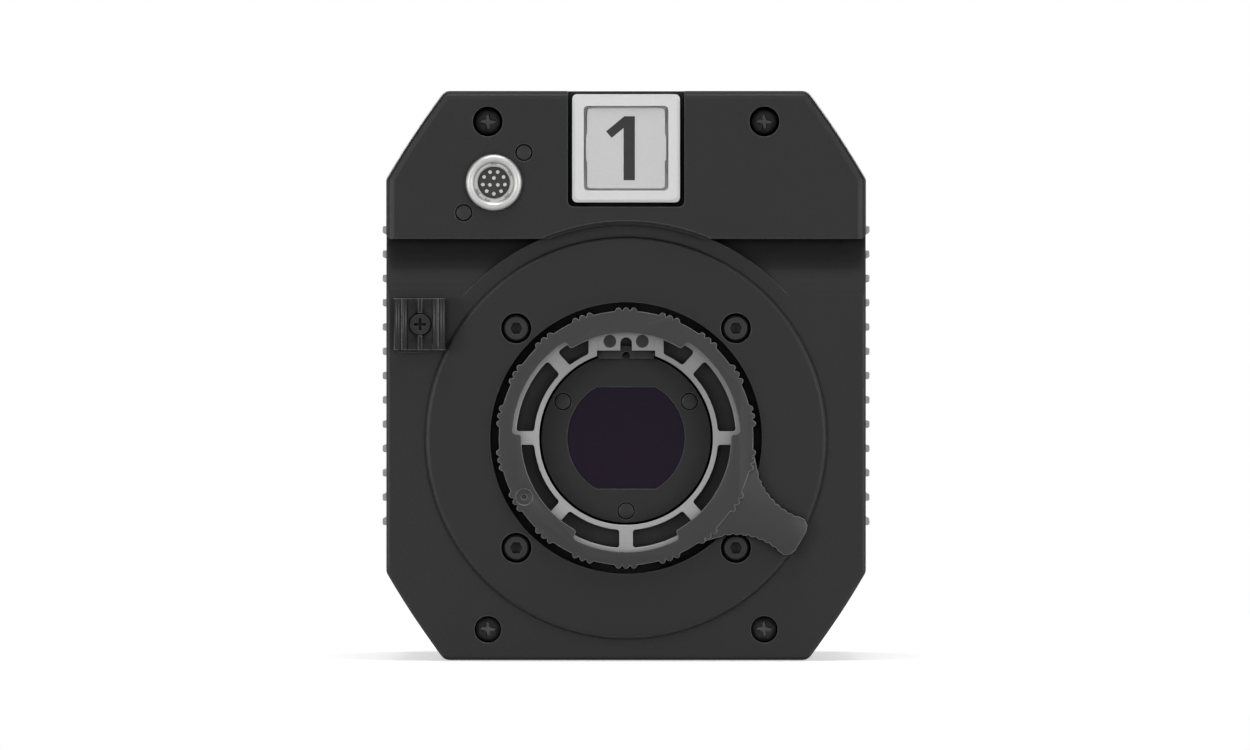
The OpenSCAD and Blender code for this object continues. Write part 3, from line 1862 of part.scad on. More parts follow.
module rocker_bezel() {
  axis_y = field_y + bezel_t - rocker_axis_depth;
  color(rubber_black)
    translate([-control_x, 0, control_high_z]) {
      difference() {
        union() {
          block_y(0, 0, bezel_w, bezel_h, field_y, field_y + bezel_t);
          block_y(0, 0, bezel_w - 2 * bezel_t, bezel_h - 2 * bezel_t,
            field_y - bezel_depth, field_y + bezel_t);
        }
        block_y(0, 0, rocker_w, rocker_h + 2 * rocker_play,
          field_y - bezel_depth + bezel_t, field_y + bezel_t + over);
      }
      translate([0, axis_y, 0])
        rotate([0, 90, 0])
          cylinder(r = rocker_pin_r, h = rocker_w, center = true);
    }
}

module balance_toggle() {
  color(satin_metal)
    translate([control_x, field_y, control_mid_z]) {
      sphere(r = toggle_ball_r);
      taper_y(0, 0, toggle_neck_r, toggle_tip_r, 0, toggle_l);
      translate([0, toggle_l, 0])
        sphere(r = toggle_tip_r);
    }
}

module toggle_bush() {
  color(satin_metal)
    translate([control_x, 0, control_mid_z])
      difference() {
        round_y(0, 0, toggle_bush_r, floor_y, field_y + toggle_bush_proud);
        round_y(0, 0, toggle_bore_r, field_y - toggle_bore_r, field_y + toggle_bush_proud + over);
      }
}

module menu_dial() {
  dial_y = field_y + bush_proud + dial_gap;
  color(rubber_black)
    translate([control_x, 0, control_high_z]) {
      along_y(dial_y, dial_y + dial_t)
        polygon([for (i = [0:2 * dial_ribs - 1])
          let (a = 180 * i / dial_ribs)
          (dial_r + (i % 2) * dial_rib_h) * [cos(a), sin(a)]]);
      round_y(0, 0, dial_shaft_r, floor_y, dial_y);
    }
}

module dial_bush() {
  color(satin_metal)
    translate([control_x, 0, control_high_z])
      difference() {
        round_y(0, 0, bush_r, floor_y - over, field_y + bush_proud);
        round_y(0, 0, dial_shaft_r + control_fit, floor_y, field_y + bush_proud + over);
      }
}

// A sprung push button with a rim that stops it behind the panel
module push_button(z) {
  rim_y = floor_y - button_play - button_rim_t;
  color(rubber_black)
    translate([-control_x, 0, z - control_drop]) {
      round_y(0, 0, button_r, rim_y, field_y + button_proud);
      round_y(0, 0, button_rim_r, rim_y, rim_y + button_rim_t);
    }
}

module upper_button() {
  push_button(control_mid_z);
}

module lower_button() {
  push_button(control_low_z);
}

module status_lamp() {
  color(lamp_green)
    translate([control_x, field_y, control_low_z]) {
      round_y(0, 0, lamp_r, floor_y - field_y, 0);
      intersection() {
        translate([0, lamp_proud - lamp_r, 0])
          sphere(r = lamp_r);
        round_y(0, 0, lamp_r, -lamp_proud, lamp_r);
      }
    }
}

front_panel();
top_cover();
base_plate();
left_cover();
right_cover();
rear_panel();
frame_rails();
left_heat_sink();
right_heat_sink();
panel_screws();
rear_screws();
cover_screws();
mount_plate();
mount_screws();
lock_ring();
ring_retainer();
flange_ring();
index_block();
index_pins();
filter_holder();
filter_screws();
optical_filter();
sensor_frame();
sensor_chip();
sensor_board();
connector_shell();
connector_insert();
connector_pins();
connector_screws();
tally_frame();
tally_board();
number_plate();
number_digit();
cable_clamp();
clamp_screw();
main_board();
video_board();
power_board();
fan_frame();
fan_rotor();
coaxial_jacks();
coaxial_cores();
power_inlet();
inlet_pins();
remote_socket();
remote_insert();
network_jack();
power_rocker();
rocker_bezel();
balance_toggle();
toggle_bush();
menu_dial();
dial_bush();
upper_button();
lower_button();
status_lamp();
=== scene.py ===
import json
import math

import bmesh
import bpy
from mathutils import Matrix, Vector


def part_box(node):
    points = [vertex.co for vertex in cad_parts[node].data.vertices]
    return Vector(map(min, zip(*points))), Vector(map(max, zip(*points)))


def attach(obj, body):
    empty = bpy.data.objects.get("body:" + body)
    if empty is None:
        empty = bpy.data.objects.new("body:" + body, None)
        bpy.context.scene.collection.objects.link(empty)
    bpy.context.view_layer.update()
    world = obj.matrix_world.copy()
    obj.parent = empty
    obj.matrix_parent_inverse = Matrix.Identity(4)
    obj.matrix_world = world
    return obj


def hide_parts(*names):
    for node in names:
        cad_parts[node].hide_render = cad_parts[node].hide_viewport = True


bl_info = {
    "name": "Box camera studio model",
    "version": (1, 0, 0),
    "blender": (4, 5, 0),
    "location": "View3D > Sidebar > Box camera",
    "description": "Finishes a studio box camera, adds its small fittings and sets a plain stage round it",
    "category": "Object",
}

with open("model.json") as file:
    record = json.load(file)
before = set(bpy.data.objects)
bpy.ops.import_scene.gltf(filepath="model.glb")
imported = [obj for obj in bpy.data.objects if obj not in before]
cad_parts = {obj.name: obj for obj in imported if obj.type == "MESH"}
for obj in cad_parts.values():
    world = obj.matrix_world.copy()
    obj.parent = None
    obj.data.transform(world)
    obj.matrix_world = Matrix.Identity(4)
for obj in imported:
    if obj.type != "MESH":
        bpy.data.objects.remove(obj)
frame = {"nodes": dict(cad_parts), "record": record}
NODES = frame["nodes"]
SLOT_OF = {part["node"]: part["material_slot"] for part in frame["record"]["subparts"]}
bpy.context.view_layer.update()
MOUNTS = {mount["name"]: mount for mount in frame["record"]["mounts"]}

# Height of the lens axis over the base
LENS_Z = 0.0472

# Radii of the heads of the corner screws and of the mount screws
CORNER_HEAD_R = 0.0026
MOUNT_HEAD_R = 0.00275
# A mount screw's rim lies outside this share of its head's radius, and no further behind its face than this
HEAD_RIM_SHARE = 0.9
HEAD_RIM_DEPTH = 0.00012
# Reach, width and depth of the cross-shaped recess in a corner screw's head
RECESS_REACH = 0.00154
RECESS_W = 0.00076
RECESS_DEPTH = 0.0012
# Thickness of the bare metal on a recess's floor
RECESS_FLOOR_T = 0.00012
# Share of its width that an arm of the bare star keeps at its tip
STAR_TIP_SHARE = 0.3

# Radii of the ring behind the lens connector's keyways, its depth behind the lip and its thickness
KEYWAY_IN_R = 0.0034
KEYWAY_OUT_R = 0.0043
KEYWAY_SINK = 0.00125
KEYWAY_T = 0.0009
KEYWAY_STEPS = 64

# The large tripod thread has 16 turns to the inch and the small one 20
LARGE_PITCH_SHARE = 1.25
# Shares of a thread's pitch: half of its foot's width and half of its crest's
THREAD_FOOT_SHARE = 0.42
THREAD_CREST_SHARE = 0.1
THREAD_STEPS = 32

# The network jack's contacts: how many, their spacing, their thickness and their straight root's length
CONTACT_COUNT = 8
CONTACT_PITCH = 0.00102
CONTACT_T = 0.0003
CONTACT_ROOT = 0.003
# The root's middle lies this far behind the jack's mouth and this far over the jack's middle
CONTACT_INSET = 0.0105
CONTACT_RISE = 0.0039
# Each further stretch of a contact runs this far towards the mouth and this far up
CONTACT_BENDS = ((0.0022, -0.0001), (0.0028, -0.0014), (0.0008, -0.0001), (0.0006, 0.0004))
# A face this near to a contact's foremost point is its end
CONTACT_END_REACH = 0.00001
CONTACT_EDGE = 0.00005

# Points nearer than this are one point, and faces that meet at less than this angle are one face
MERGE_REACH = 0.000002
FLAT_ANGLE = math.radians(1)
# An edge sharper than the first angle is broken, and one sharper than the second stays hard in the light
BREAK_ANGLE = math.radians(32)
SMOOTH_ANGLE = math.radians(35)

# Colour of black paint and anodising that is worn thin at an edge, set lighter as a painted highlight along
# the edge
WORN_AND_HIGHLIT_BLACK = (0.22, 0.22, 0.222)
WHITE = (1, 1, 1, 1)
# Soft patches have their finish's colour times this
PATCH_SHADE = 1.1
# Crevices get painted shade: their finish's colour times this, and this much more roughness
CREVICE_SHADE = 0.08
CREVICE_ROUGH = 0.45
COAT_ROUGH = 0.1

# The picture is this many pixels wide, and one of them covers this much of the camera's front
PICTURE_W = 1250
PICTURE_SCALE = 0.0002126
# The picture's middle, and the front whose size it gives
VIEW_X = -0.00023
VIEW_Z = 0.06061
FRONT_Y = -0.0885
VIEW_DISTANCE = 5.0
VIEW_END = 100.0
FILM_W = 36.0

# Strength of the white room in diffuse light, in mirrored light in front and in mirrored light behind
ROOM_AMBIENT = 0.2
ROOM_MIRRORED = 0.62
ROOM_BEHIND = 0.16
# The mirrored room changes from front to behind between these shares of y in a direction
ROOM_FRONT_Y = -0.6
ROOM_BEHIND_Y = 0.0

FLOOR_SIZE = 8.0
FLOOR_DROP = 0.0002
FLOOR_COLOUR = (0.86, 0.86, 0.86, 1)
# The floor turns into the white room between these distances from the camera body
FLOOR_NEAR = 0.16
FLOOR_FAR = 0.9
# Light of its own that the floor shows at these two distances
FLOOR_LIFT_NEAR = 0.45
FLOOR_LIFT_FAR = 0.6

# Name, place, width and height, and power in watts of each lamp
LAMPS = (
    ("lamp_left", (-1.1, -1.5, 0.2), (0.6, 0.6), 7.0),
    ("lamp_right", (1.1, -1.5, 0.2), (0.6, 0.6), 6.2),
    ("lamp_top", (0.0, -0.75, 1.6), (1.0, 1.0), 14.0),
    ("strip_left", (-1.6, -0.35, 0.1), (0.16, 1.0), 2.4),
    ("strip_right", (1.6, -0.35, 0.1), (0.16, 1.0), 2.4),
    ("lamp_back_left", (-0.8, 1.5, 0.9), (1.0, 1.0), 14.0),
    ("lamp_back_right", (0.8, 1.5, 0.9), (1.0, 1.0), 14.0),
)
LAMP_AIM = (0, 0, 0.06)


class CameraSizes(bpy.types.PropertyGroup):
    thread_pitch: bpy.props.FloatProperty(
        name="Thread pitch", description="Pitch of the small tripod thread",
        default=0.00127, min=0.0008, max=0.002, subtype="DISTANCE", unit="LENGTH")
    thread_depth: bpy.props.FloatProperty(
        name="Thread depth", description="How far the tripod threads' crests stand into their holes",
        default=0.0005, min=0.0002, max=0.0009, subtype="DISTANCE", unit="LENGTH")
    contact_w: bpy.props.FloatProperty(
        name="Contact width", description="Width of one network contact",
        default=0.00045, min=0.0003, max=0.0007, subtype="DISTANCE", unit="LENGTH")
    edge_break: bpy.props.FloatProperty(
        name="Edge break", description="Width of the small bevel on machined edges",
        default=0.00018, min=0.00005, max=0.0004, subtype="DISTANCE", unit="LENGTH")
    moulded_edge: bpy.props.FloatProperty(
        name="Moulded edge", description="Width of the small bevel on moulded edges",
        default=0.00025, min=0.00005, max=0.0005, subtype="DISTANCE", unit="LENGTH")
    screw_edge: bpy.props.FloatProperty(
        name="Screw edge", description="Width of the small bevel on the front screws' edges",
        default=0.00007, min=0.00003, max=0.00015, subtype="DISTANCE", unit="LENGTH")
    head_rim: bpy.props.FloatProperty(
        name="Head rim", description="Width of the bevel round the mount screws' heads",
        default=0.00042, min=0.0002, max=0.0006, subtype="DISTANCE", unit="LENGTH")


class CameraColours(bpy.types.PropertyGroup):
    case: bpy.props.FloatVectorProperty(
        name="Case", description="Matt paint of the case", subtype="COLOR",
        default=(0.0185, 0.0185, 0.019), min=0, max=1)
    mount: bpy.props.FloatVectorProperty(
        name="Mount", description="Anodised mount plate", subtype="COLOR",
        default=(0.0185, 0.0185, 0.019), min=0, max=1)
    ring: bpy.props.FloatVectorProperty(
        name="Lock ring", description="Anodised lock ring and lever", subtype="COLOR",
        default=(0.039, 0.039, 0.0395), min=0, max=1)
    flange: bpy.props.FloatVectorProperty(
        name="Flange", description="Satin metal of the lens flange", subtype="COLOR",
        default=(0.42, 0.42, 0.425), min=0, max=1)
    connector: bpy.props.FloatVectorProperty(
        name="Lens connector", description="Plated shell of the lens connector", subtype="COLOR",
        default=(0.57, 0.57, 0.56), min=0, max=1)
    window: bpy.props.FloatVectorProperty(
        name="Tally window", description="Milky frame of the tally window", subtype="COLOR",
        default=(0.68, 0.68, 0.68), min=0, max=1)
    plate: bpy.props.FloatVectorProperty(
        name="Number plate", description="Pale sheet behind the digit", subtype="COLOR",
        default=(0.57, 0.57, 0.57), min=0, max=1)
    filter: bpy.props.FloatVectorProperty(
        name="Filter", description="Coated glass in front of the sensor", subtype="COLOR",
        default=(0.017, 0.011, 0.022), min=0, max=1)


# Node helpers

def add_node(tree, kind, **values):
    """A new node; each value goes to its property of that name or else to its input."""
    node = tree.nodes.new(kind)
    for name, value in values.items():
        if hasattr(node, name):
            setattr(node, name, value)
        else:
            node.inputs[name.replace("_", " ")].default_value = value
    return node


def math_node(tree, operation, first, second=None, clamp=False):
    """The result of a sum on one or two values, each a socket or a number."""
    node = add_node(tree, "ShaderNodeMath", operation=operation, use_clamp=clamp)
    for socket, value in zip(node.inputs, (first, second)):
        if isinstance(value, bpy.types.NodeSocket):
            tree.links.new(value, socket)
        elif value is not None:
            socket.default_value = value
    return node.outputs[0]


def ramp_between(tree, value, low, high, to_low=0.0, to_high=1.0):
    """A value that runs straight from to_low to to_high while the given one runs from low to high."""
    node = add_node(tree, "ShaderNodeMapRange",
                    From_Min=low, From_Max=high, To_Min=to_low, To_Max=to_high)
    tree.links.new(value, node.inputs["Value"])
    return node.outputs["Result"]


def object_place(tree):
    return tree.nodes.new("ShaderNodeTexCoord").outputs["Object"]


def split_place(tree, place):
    """The x, y and z of a place or a direction."""
    split = tree.nodes.new("ShaderNodeSeparateXYZ")
    tree.links.new(place, split.inputs[0])
    return tuple(split.outputs)


def lens_place(tree):
    """How far a place lies across the lens axis, along it and up from it."""
    across, along, height = split_place(tree, object_place(tree))
    return across, along, math_node(tree, "SUBTRACT", height, LENS_Z)


def axis_reach(tree, across, up):
    """How far a place lies from an axis, by its two distances square to it."""
    squares = [math_node(tree, "POWER", side, 2.0) for side in (across, up)]
    return math_node(tree, "SQRT", math_node(tree, "ADD", *squares))


def noise_at(tree, place, scale, **values):
    node = add_node(tree, "ShaderNodeTexNoise", **values)
    tree.links.new(place, node.inputs["Vector"])
    tree.links.new(scale, node.inputs["Scale"])
    return node.outputs["Fac"]


# Node groups shared by the materials

def start_group(name, inputs, outputs):
    """A new group of plain numbers: its tree, what it is given and what it gives out."""
    tree = bpy.data.node_groups.new(name, "ShaderNodeTree")
    for label, value in inputs:
        socket = tree.interface.new_socket(name=label, in_out="INPUT", socket_type="NodeSocketFloat")
        socket.default_value = value
    for label in outputs:
        tree.interface.new_socket(name=label, in_out="OUTPUT", socket_type="NodeSocketFloat")
    return tree, tree.nodes.new("NodeGroupInput").outputs, tree.nodes.new("NodeGroupOutput").inputs


def put_out_streaks(tree, place, scale, out):
    """Noise at a stretched place, given out as a height and as a mask."""
    streaks = noise_at(tree, place, scale, Detail=2.0, Roughness=0.5)
    tree.links.new(streaks, out["Height"])
    tree.links.new(ramp_between(tree, streaks, 0.3, 0.7), out["Mask"])


def grain_group():
    """Fine pebbled grain, as a height and as a mask that goes from 0 to 1."""
    tree, given, out = start_group("fine_grain", [("Scale", 3000.0)], ["Height", "Mask"])
    place = object_place(tree)
    cloud = noise_at(tree, place, given["Scale"], Detail=4.0, Roughness=0.6)
    cells = add_node(tree, "ShaderNodeTexVoronoi", feature="SMOOTH_F1", Smoothness=0.6)
    tree.links.new(place, cells.inputs["Vector"])
    tree.links.new(math_node(tree, "MULTIPLY", given["Scale"], 0.8), cells.inputs["Scale"])
    height = math_node(tree, "ADD", math_node(tree, "MULTIPLY", cloud, 0.6),
                       math_node(tree, "MULTIPLY", cells.outputs["Distance"], 0.5))
    tree.links.new(height, out["Height"])
    tree.links.new(ramp_between(tree, height, 0.3, 0.75), out["Mask"])
    return tree


def wear_and_highlight_group():
    """A broken mask along the outer edges of a piece, for worn edges and the painted highlights on them."""
    tree, given, out = start_group("edge_wear_and_highlight", [("Width", 0.0003), ("Breakup", 700.0)], ["Mask"])
    bevel = add_node(tree, "ShaderNodeBevel", samples=4)
    tree.links.new(given["Width"], bevel.inputs["Radius"])
    surface = tree.nodes.new("ShaderNodeNewGeometry")
    turn = add_node(tree, "ShaderNodeVectorMath", operation="DOT_PRODUCT")
    tree.links.new(bevel.outputs["Normal"], turn.inputs[0])
    tree.links.new(surface.outputs["Normal"], turn.inputs[1])
    edge = ramp_between(tree, turn.outputs["Value"], 0.992, 0.91)
    noise = noise_at(tree, object_place(tree), given["Breakup"], Detail=3.0, Roughness=0.65)
    broken = ramp_between(tree, noise, 0.26, 0.5, 0.25, 1.0)
    tree.links.new(math_node(tree, "MULTIPLY", edge, broken, clamp=True), out["Mask"])
    return tree


def streak_group():
    """Fine brushing drawn out along one axis: 0 is x, 1 is y and 2 is z."""
    tree, given, out = start_group("brushing", [("Scale", 2600.0), ("Axis", 1.0)], ["Height", "Mask"])
    join = tree.nodes.new("ShaderNodeCombineXYZ")
    for index, side in enumerate(split_place(tree, object_place(tree))):
        along = math_node(tree, "COMPARE", given["Axis"], float(index))
        stretch = ramp_between(tree, along, 0.0, 1.0, 1.0, 0.02)
        tree.links.new(math_node(tree, "MULTIPLY", side, stretch), join.inputs[index])
    put_out_streaks(tree, join.outputs[0], given["Scale"], out)
    return tree


def turning_group():
    """Fine rings round the lens axis, as a lathe leaves them."""
    tree, given, out = start_group("turning", [("Scale", 2200.0)], ["Height", "Mask"])
    across, along, up = lens_place(tree)
    join = tree.nodes.new("ShaderNodeCombineXYZ")
    tree.links.new(axis_reach(tree, across, up), join.inputs[0])
    tree.links.new(math_node(tree, "MULTIPLY", along, 0.3), join.inputs[1])
    put_out_streaks(tree, join.outputs[0], given["Scale"], out)
    return tree


def painted_shade_fan_group():
    """Painted shade on a turned face, as a mask: darkest above the lens axis, weaker to its right and gone to
    its left and below.
    """
    tree, given, out = start_group("painted_shade_fan", [("Across", 0.35), ("Up", 0.94)], ["Mask"])
    across, _, up = lens_place(tree)
    lean = math_node(tree, "ADD", math_node(tree, "MULTIPLY", across, given["Across"]),
                     math_node(tree, "MULTIPLY", up, given["Up"]))
    turn = math_node(tree, "DIVIDE", lean, axis_reach(tree, across, up))
    tree.links.new(ramp_between(tree, turn, -0.35, 0.94), out["Mask"])
    return tree


def painted_crevice_shade_group():
    """Painted shade in corners, gaps and the floors of small holes, where walls crowd in, as a mask."""
    tree, given, out = start_group("painted_crevice_shade", [("Reach", 0.0016)], ["Mask"])
    shadow = add_node(tree, "ShaderNodeAmbientOcclusion", samples=6)
    tree.links.new(given["Reach"], shadow.inputs["Distance"])
    tree.links.new(ramp_between(tree, shadow.outputs["AO"], 0.85, 0.35), out["Mask"])
    return tree


def handling_group():
    """Large soft patches where hands and cloths have changed the sheen."""
    tree, given, out = start_group("handling", [("Scale", 38.0)], ["Mask"])
    noise = noise_at(tree, object_place(tree), given["Scale"], Detail=5.0, Roughness=0.55, Distortion=0.6)
    tree.links.new(ramp_between(tree, noise, 0.35, 0.68), out["Mask"])
    return tree


GROUP_MAKERS = {
    "fine_grain": grain_group, "edge_wear_and_highlight": wear_and_highlight_group, "brushing": streak_group,
    "turning": turning_group, "painted_shade_fan": painted_shade_fan_group,
    "painted_crevice_shade": painted_crevice_shade_group, "handling": handling_group,
}


def place_group(tree, name, values=None):
    """One of the shared groups, made when it is first asked for, with its own values."""
    node = tree.nodes.new("ShaderNodeGroup")
    node.node_tree = bpy.data.node_groups.get(name) or GROUP_MAKERS[name]()
    for label, value in (values or {}).items():
        node.inputs[label].default_value = value
    return node


# Finishes

def mixed_colour(tree, mask, first, second):
    """Two colours mixed by a mask; a Mix node has its colours on inputs 6 and 7 and on output 2."""
    node = add_node(tree, "ShaderNodeMix", data_type="RGBA")
    tree.links.new(mask, node.inputs["Factor"])
    for socket, colour in ((node.inputs[6], first), (node.inputs[7], second)):
        if isinstance(colour, bpy.types.NodeSocket):
            tree.links.new(colour, socket)
        else:
            socket.default_value = (*colour[:3], 1.0)
    return node.outputs[2]


def shade(colour, factor):
    return tuple(min(1.0, c * factor) for c in colour)


def make_finish(slot, colour, rough, metallic=0.0, specular=0.5, texture="fine_grain",
                texture_values=None, bump=0.00001, spread=0.12, wear_and_highlight=None, wear_and_highlight_amount=0.5,
                soft_edge=0.0002, coat=0.0, patches=0.25, fan=0.0, painted_crevice_shade=0.0):
    """A finish with grain or brushing, soft patches in its sheen, eased edges and worn ones lightened as
    painted highlights.

    rough is its least and greatest roughness, and the edge colour is that of worn edges lightened as painted
    highlights.
    bump and soft_edge are lengths. The shares say how far each effect goes, up to 1: the grain's spread, the
    worn and highlit edges, the soft patches, the fan of painted shade on turned faces and the painted shade
    in crevices.
    """
    material = bpy.data.materials.new("camera_" + slot)
    material.use_nodes = True
    tree = material.node_tree
    shader = tree.nodes["Principled BSDF"]

    def mask_times(group, amount):
        return math_node(tree, "MULTIPLY", group.outputs["Mask"], amount)

    pattern = place_group(tree, texture, texture_values)
    patch = place_group(tree, "handling")
    colour = tuple(colour)
    base = mixed_colour(tree, pattern.outputs["Mask"], shade(colour, 1 - spread), shade(colour, 1 + spread))
    base = mixed_colour(tree, mask_times(patch, patches), base, shade(colour, PATCH_SHADE))
    # Worn edges, made lighter still as painted highlights along them
    if wear_and_highlight:
        base = mixed_colour(tree, mask_times(place_group(tree, "edge_wear_and_highlight"), wear_and_highlight_amount), base, wear_and_highlight)
    # Painted shade: a turned face goes towards black by the fan mask round the lens axis
    if fan:
        base = mixed_colour(tree, mask_times(place_group(tree, "painted_shade_fan"), fan), base, (0, 0, 0))
    sheen = math_node(tree, "ADD", mask_times(pattern, 0.5), mask_times(patch, 0.5))
    roughness = ramp_between(tree, sheen, 0.0, 1.0, rough[1], rough[0])
    # Painted shade: crevices are darkened towards near black and made rougher
    if painted_crevice_shade:
        depth = mask_times(place_group(tree, "painted_crevice_shade"), painted_crevice_shade)
        base = mixed_colour(tree, depth, base, shade(colour, CREVICE_SHADE))
        rougher = math_node(tree, "MULTIPLY", depth, CREVICE_ROUGH)
        roughness = math_node(tree, "ADD", roughness, rougher, clamp=True)
    tree.links.new(base, shader.inputs["Base Color"])
    tree.links.new(roughness, shader.inputs["Roughness"])
    shader.inputs["Metallic"].default_value = metallic
    shader.inputs["Specular IOR Level"].default_value = specular
    if coat:
        shader.inputs["Coat Weight"].default_value = coat
        shader.inputs["Coat Roughness"].default_value = COAT_ROUGH
    relief = add_node(tree, "ShaderNodeBump", Strength=1.0, Distance=bump)
    tree.links.new(pattern.outputs["Height"], relief.inputs["Height"])
    if soft_edge:
        eased = add_node(tree, "ShaderNodeBevel", samples=4, Radius=soft_edge)
        tree.links.new(eased.outputs["Normal"], relief.inputs["Normal"])
    tree.links.new(relief.outputs["Normal"], shader.inputs["Normal"])
    return material


def finish_of(slot):
    """The material of one of the record's slots, made when it is first asked for."""
    found = bpy.data.materials.get("camera_" + slot)
    if found:
        return found
    colours = bpy.context.scene.camera_colours
    # Edge colours here are worn edges lightened further as painted highlights, and the shares of painted
    # shade fall in crevices and across turned faces
    finishes = {
        "case_black": dict(
            colour=colours.case, rough=(0.36, 0.48), specular=0.3, texture_values={"Scale": 3600.0},
            bump=0.000008, wear_and_highlight=WORN_AND_HIGHLIT_BLACK, soft_edge=0.0003, painted_crevice_shade=0.85),
        "mount_black": dict(
            colour=colours.mount, rough=(0.34, 0.46), specular=0.3, texture_values={"Scale": 6500.0},
            bump=0.000006, wear_and_highlight=WORN_AND_HIGHLIT_BLACK, painted_crevice_shade=0.85),
        "ring_grey": dict(
            colour=colours.ring, rough=(0.3, 0.4), specular=0.36, texture_values={"Scale": 7000.0},
            bump=0.000005, wear_and_highlight=(0.36, 0.36, 0.36), wear_and_highlight_amount=0.8, painted_crevice_shade=0.7),
        "bare_aluminium": dict(
            colour=(0.52, 0.52, 0.53), rough=(0.3, 0.42), metallic=1.0, texture="brushing",
            texture_values={"Axis": 1.0}, bump=0.000004, spread=0.06),
        "black_steel": dict(
            colour=(0.024, 0.024, 0.025), rough=(0.26, 0.38), specular=0.35, texture_values={"Scale": 5200.0},
            bump=0.000003, wear_and_highlight=(0.2, 0.2, 0.2), wear_and_highlight_amount=0.3, soft_edge=0.00008, painted_crevice_shade=0.95),
        "spring_steel": dict(
            colour=(0.42, 0.42, 0.43), rough=(0.28, 0.4), metallic=1.0, texture="turning", bump=0.000003),
        # The fan here is painted shade, darker above the lens axis
        "satin_metal": dict(
            colour=colours.flange, rough=(0.34, 0.46), metallic=1.0, texture="turning",
            bump=0.000003, spread=0.05, fan=0.32),
        "bright_metal": dict(
            colour=colours.connector, rough=(0.4, 0.52), metallic=1.0, texture="brushing",
            texture_values={"Axis": 1.0, "Scale": 4200.0}, bump=0.000002, spread=0.04,
            soft_edge=0.00008, painted_crevice_shade=0.5),
        "nickel": dict(
            colour=(0.6, 0.585, 0.55), rough=(0.2, 0.32), metallic=1.0, texture="brushing",
            texture_values={"Axis": 1.0, "Scale": 4200.0}, bump=0.000002, spread=0.04),
        "gold_contact": dict(
            colour=(0.78, 0.62, 0.34), rough=(0.2, 0.3), metallic=1.0, texture_values={"Scale": 9000.0},
            bump=0.000001, spread=0.05, soft_edge=0.00004),
        "silver_contact": dict(
            colour=(0.86, 0.85, 0.82), rough=(0.16, 0.26), metallic=1.0, texture_values={"Scale": 9000.0},
            bump=0.000001, spread=0.05, soft_edge=0.00004),
        "worn_recess": dict(
            colour=(0.24, 0.24, 0.242), rough=(0.3, 0.42), metallic=0.3, texture_values={"Scale": 5200.0},
            bump=0.000003, soft_edge=0.0),
        "board": dict(
            colour=(0.02, 0.09, 0.045), rough=(0.3, 0.45), texture_values={"Scale": 600.0},
            bump=0.00002, spread=0.3),
        "moulded_black": dict(
            colour=(0.016, 0.016, 0.0165), rough=(0.38, 0.5), specular=0.35, texture_values={"Scale": 4200.0},
            wear_and_highlight=(0.05, 0.05, 0.05), wear_and_highlight_amount=0.3, painted_crevice_shade=0.7),
        "clamp_black": dict(
            colour=(0.011, 0.011, 0.0115), rough=(0.2, 0.3), specular=0.34, texture_values={"Scale": 4200.0},
            bump=0.000004, wear_and_highlight=(0.3, 0.3, 0.3), wear_and_highlight_amount=0.85, soft_edge=0.0001, painted_crevice_shade=0.9),
        "insert_grey": dict(
            colour=(0.036, 0.036, 0.037), rough=(0.4, 0.5), specular=0.35, texture_values={"Scale": 5200.0},
            bump=0.000004, soft_edge=0.00005),
        "rubber_grey": dict(
            colour=(0.05, 0.05, 0.052), rough=(0.6, 0.75), specular=0.25, texture_values={"Scale": 5200.0}),
        "lamp_white": dict(
            colour=colours.window, rough=(0.16, 0.26), specular=0.45, texture_values={"Scale": 2400.0},
            bump=0.000002, spread=0.02, soft_edge=0.0001),
        "plate_white": dict(
            colour=colours.plate, rough=(0.42, 0.54), specular=0.35, texture_values={"Scale": 3800.0},
            bump=0.000004, spread=0.03),
        "digit_grey": dict(
            colour=(0.032, 0.032, 0.032), rough=(0.4, 0.5), specular=0.3, texture_values={"Scale": 6000.0},
            bump=0.000003, soft_edge=0.0),
        "core_white": dict(colour=(0.7, 0.69, 0.65), rough=(0.4, 0.5), bump=0.000004, spread=0.04),
        "lamp_green": dict(
            colour=(0.03, 0.26, 0.06), rough=(0.12, 0.2), bump=0.000002, spread=0.05, coat=0.5),
        "filter_glass": dict(
            colour=colours.filter, rough=(0.05, 0.09), specular=0.1, texture_values={"Scale": 900.0},
            bump=0.0000005, spread=0.04, soft_edge=0.0001, patches=0.1),
    }
    return make_finish(slot, **finishes[slot])


def dress(*names, finish=None):
    """Gives each node the finish of its slot, or the one that is named."""
    for name in names:
        mesh = NODES[name].data
        mesh.materials.clear()
        mesh.materials.append(finish_of(finish or SLOT_OF[name]))


# Modelling helpers

def start_clean():
    """Leaves edit mode and deselects everything."""
    if bpy.context.object and bpy.context.object.mode != "OBJECT":
        bpy.ops.object.mode_set(mode="OBJECT")
    bpy.ops.object.select_all(action="DESELECT")


def select_all_in_edit():
    bpy.ops.object.mode_set(mode="EDIT")
    bpy.ops.mesh.select_all(action="SELECT")


def select_faces(piece, test):
    """Selects the faces of the piece in edit mode for which the test of centre and normal holds."""
    bpy.ops.mesh.select_mode(type="FACE")
    bpy.ops.mesh.select_all(action="DESELECT")
    mesh = bmesh.from_edit_mesh(piece.data)
    for face in mesh.faces:
        face.select_set(test(face.calc_center_median(), face.normal))
    bmesh.update_edit_mesh(piece.data)


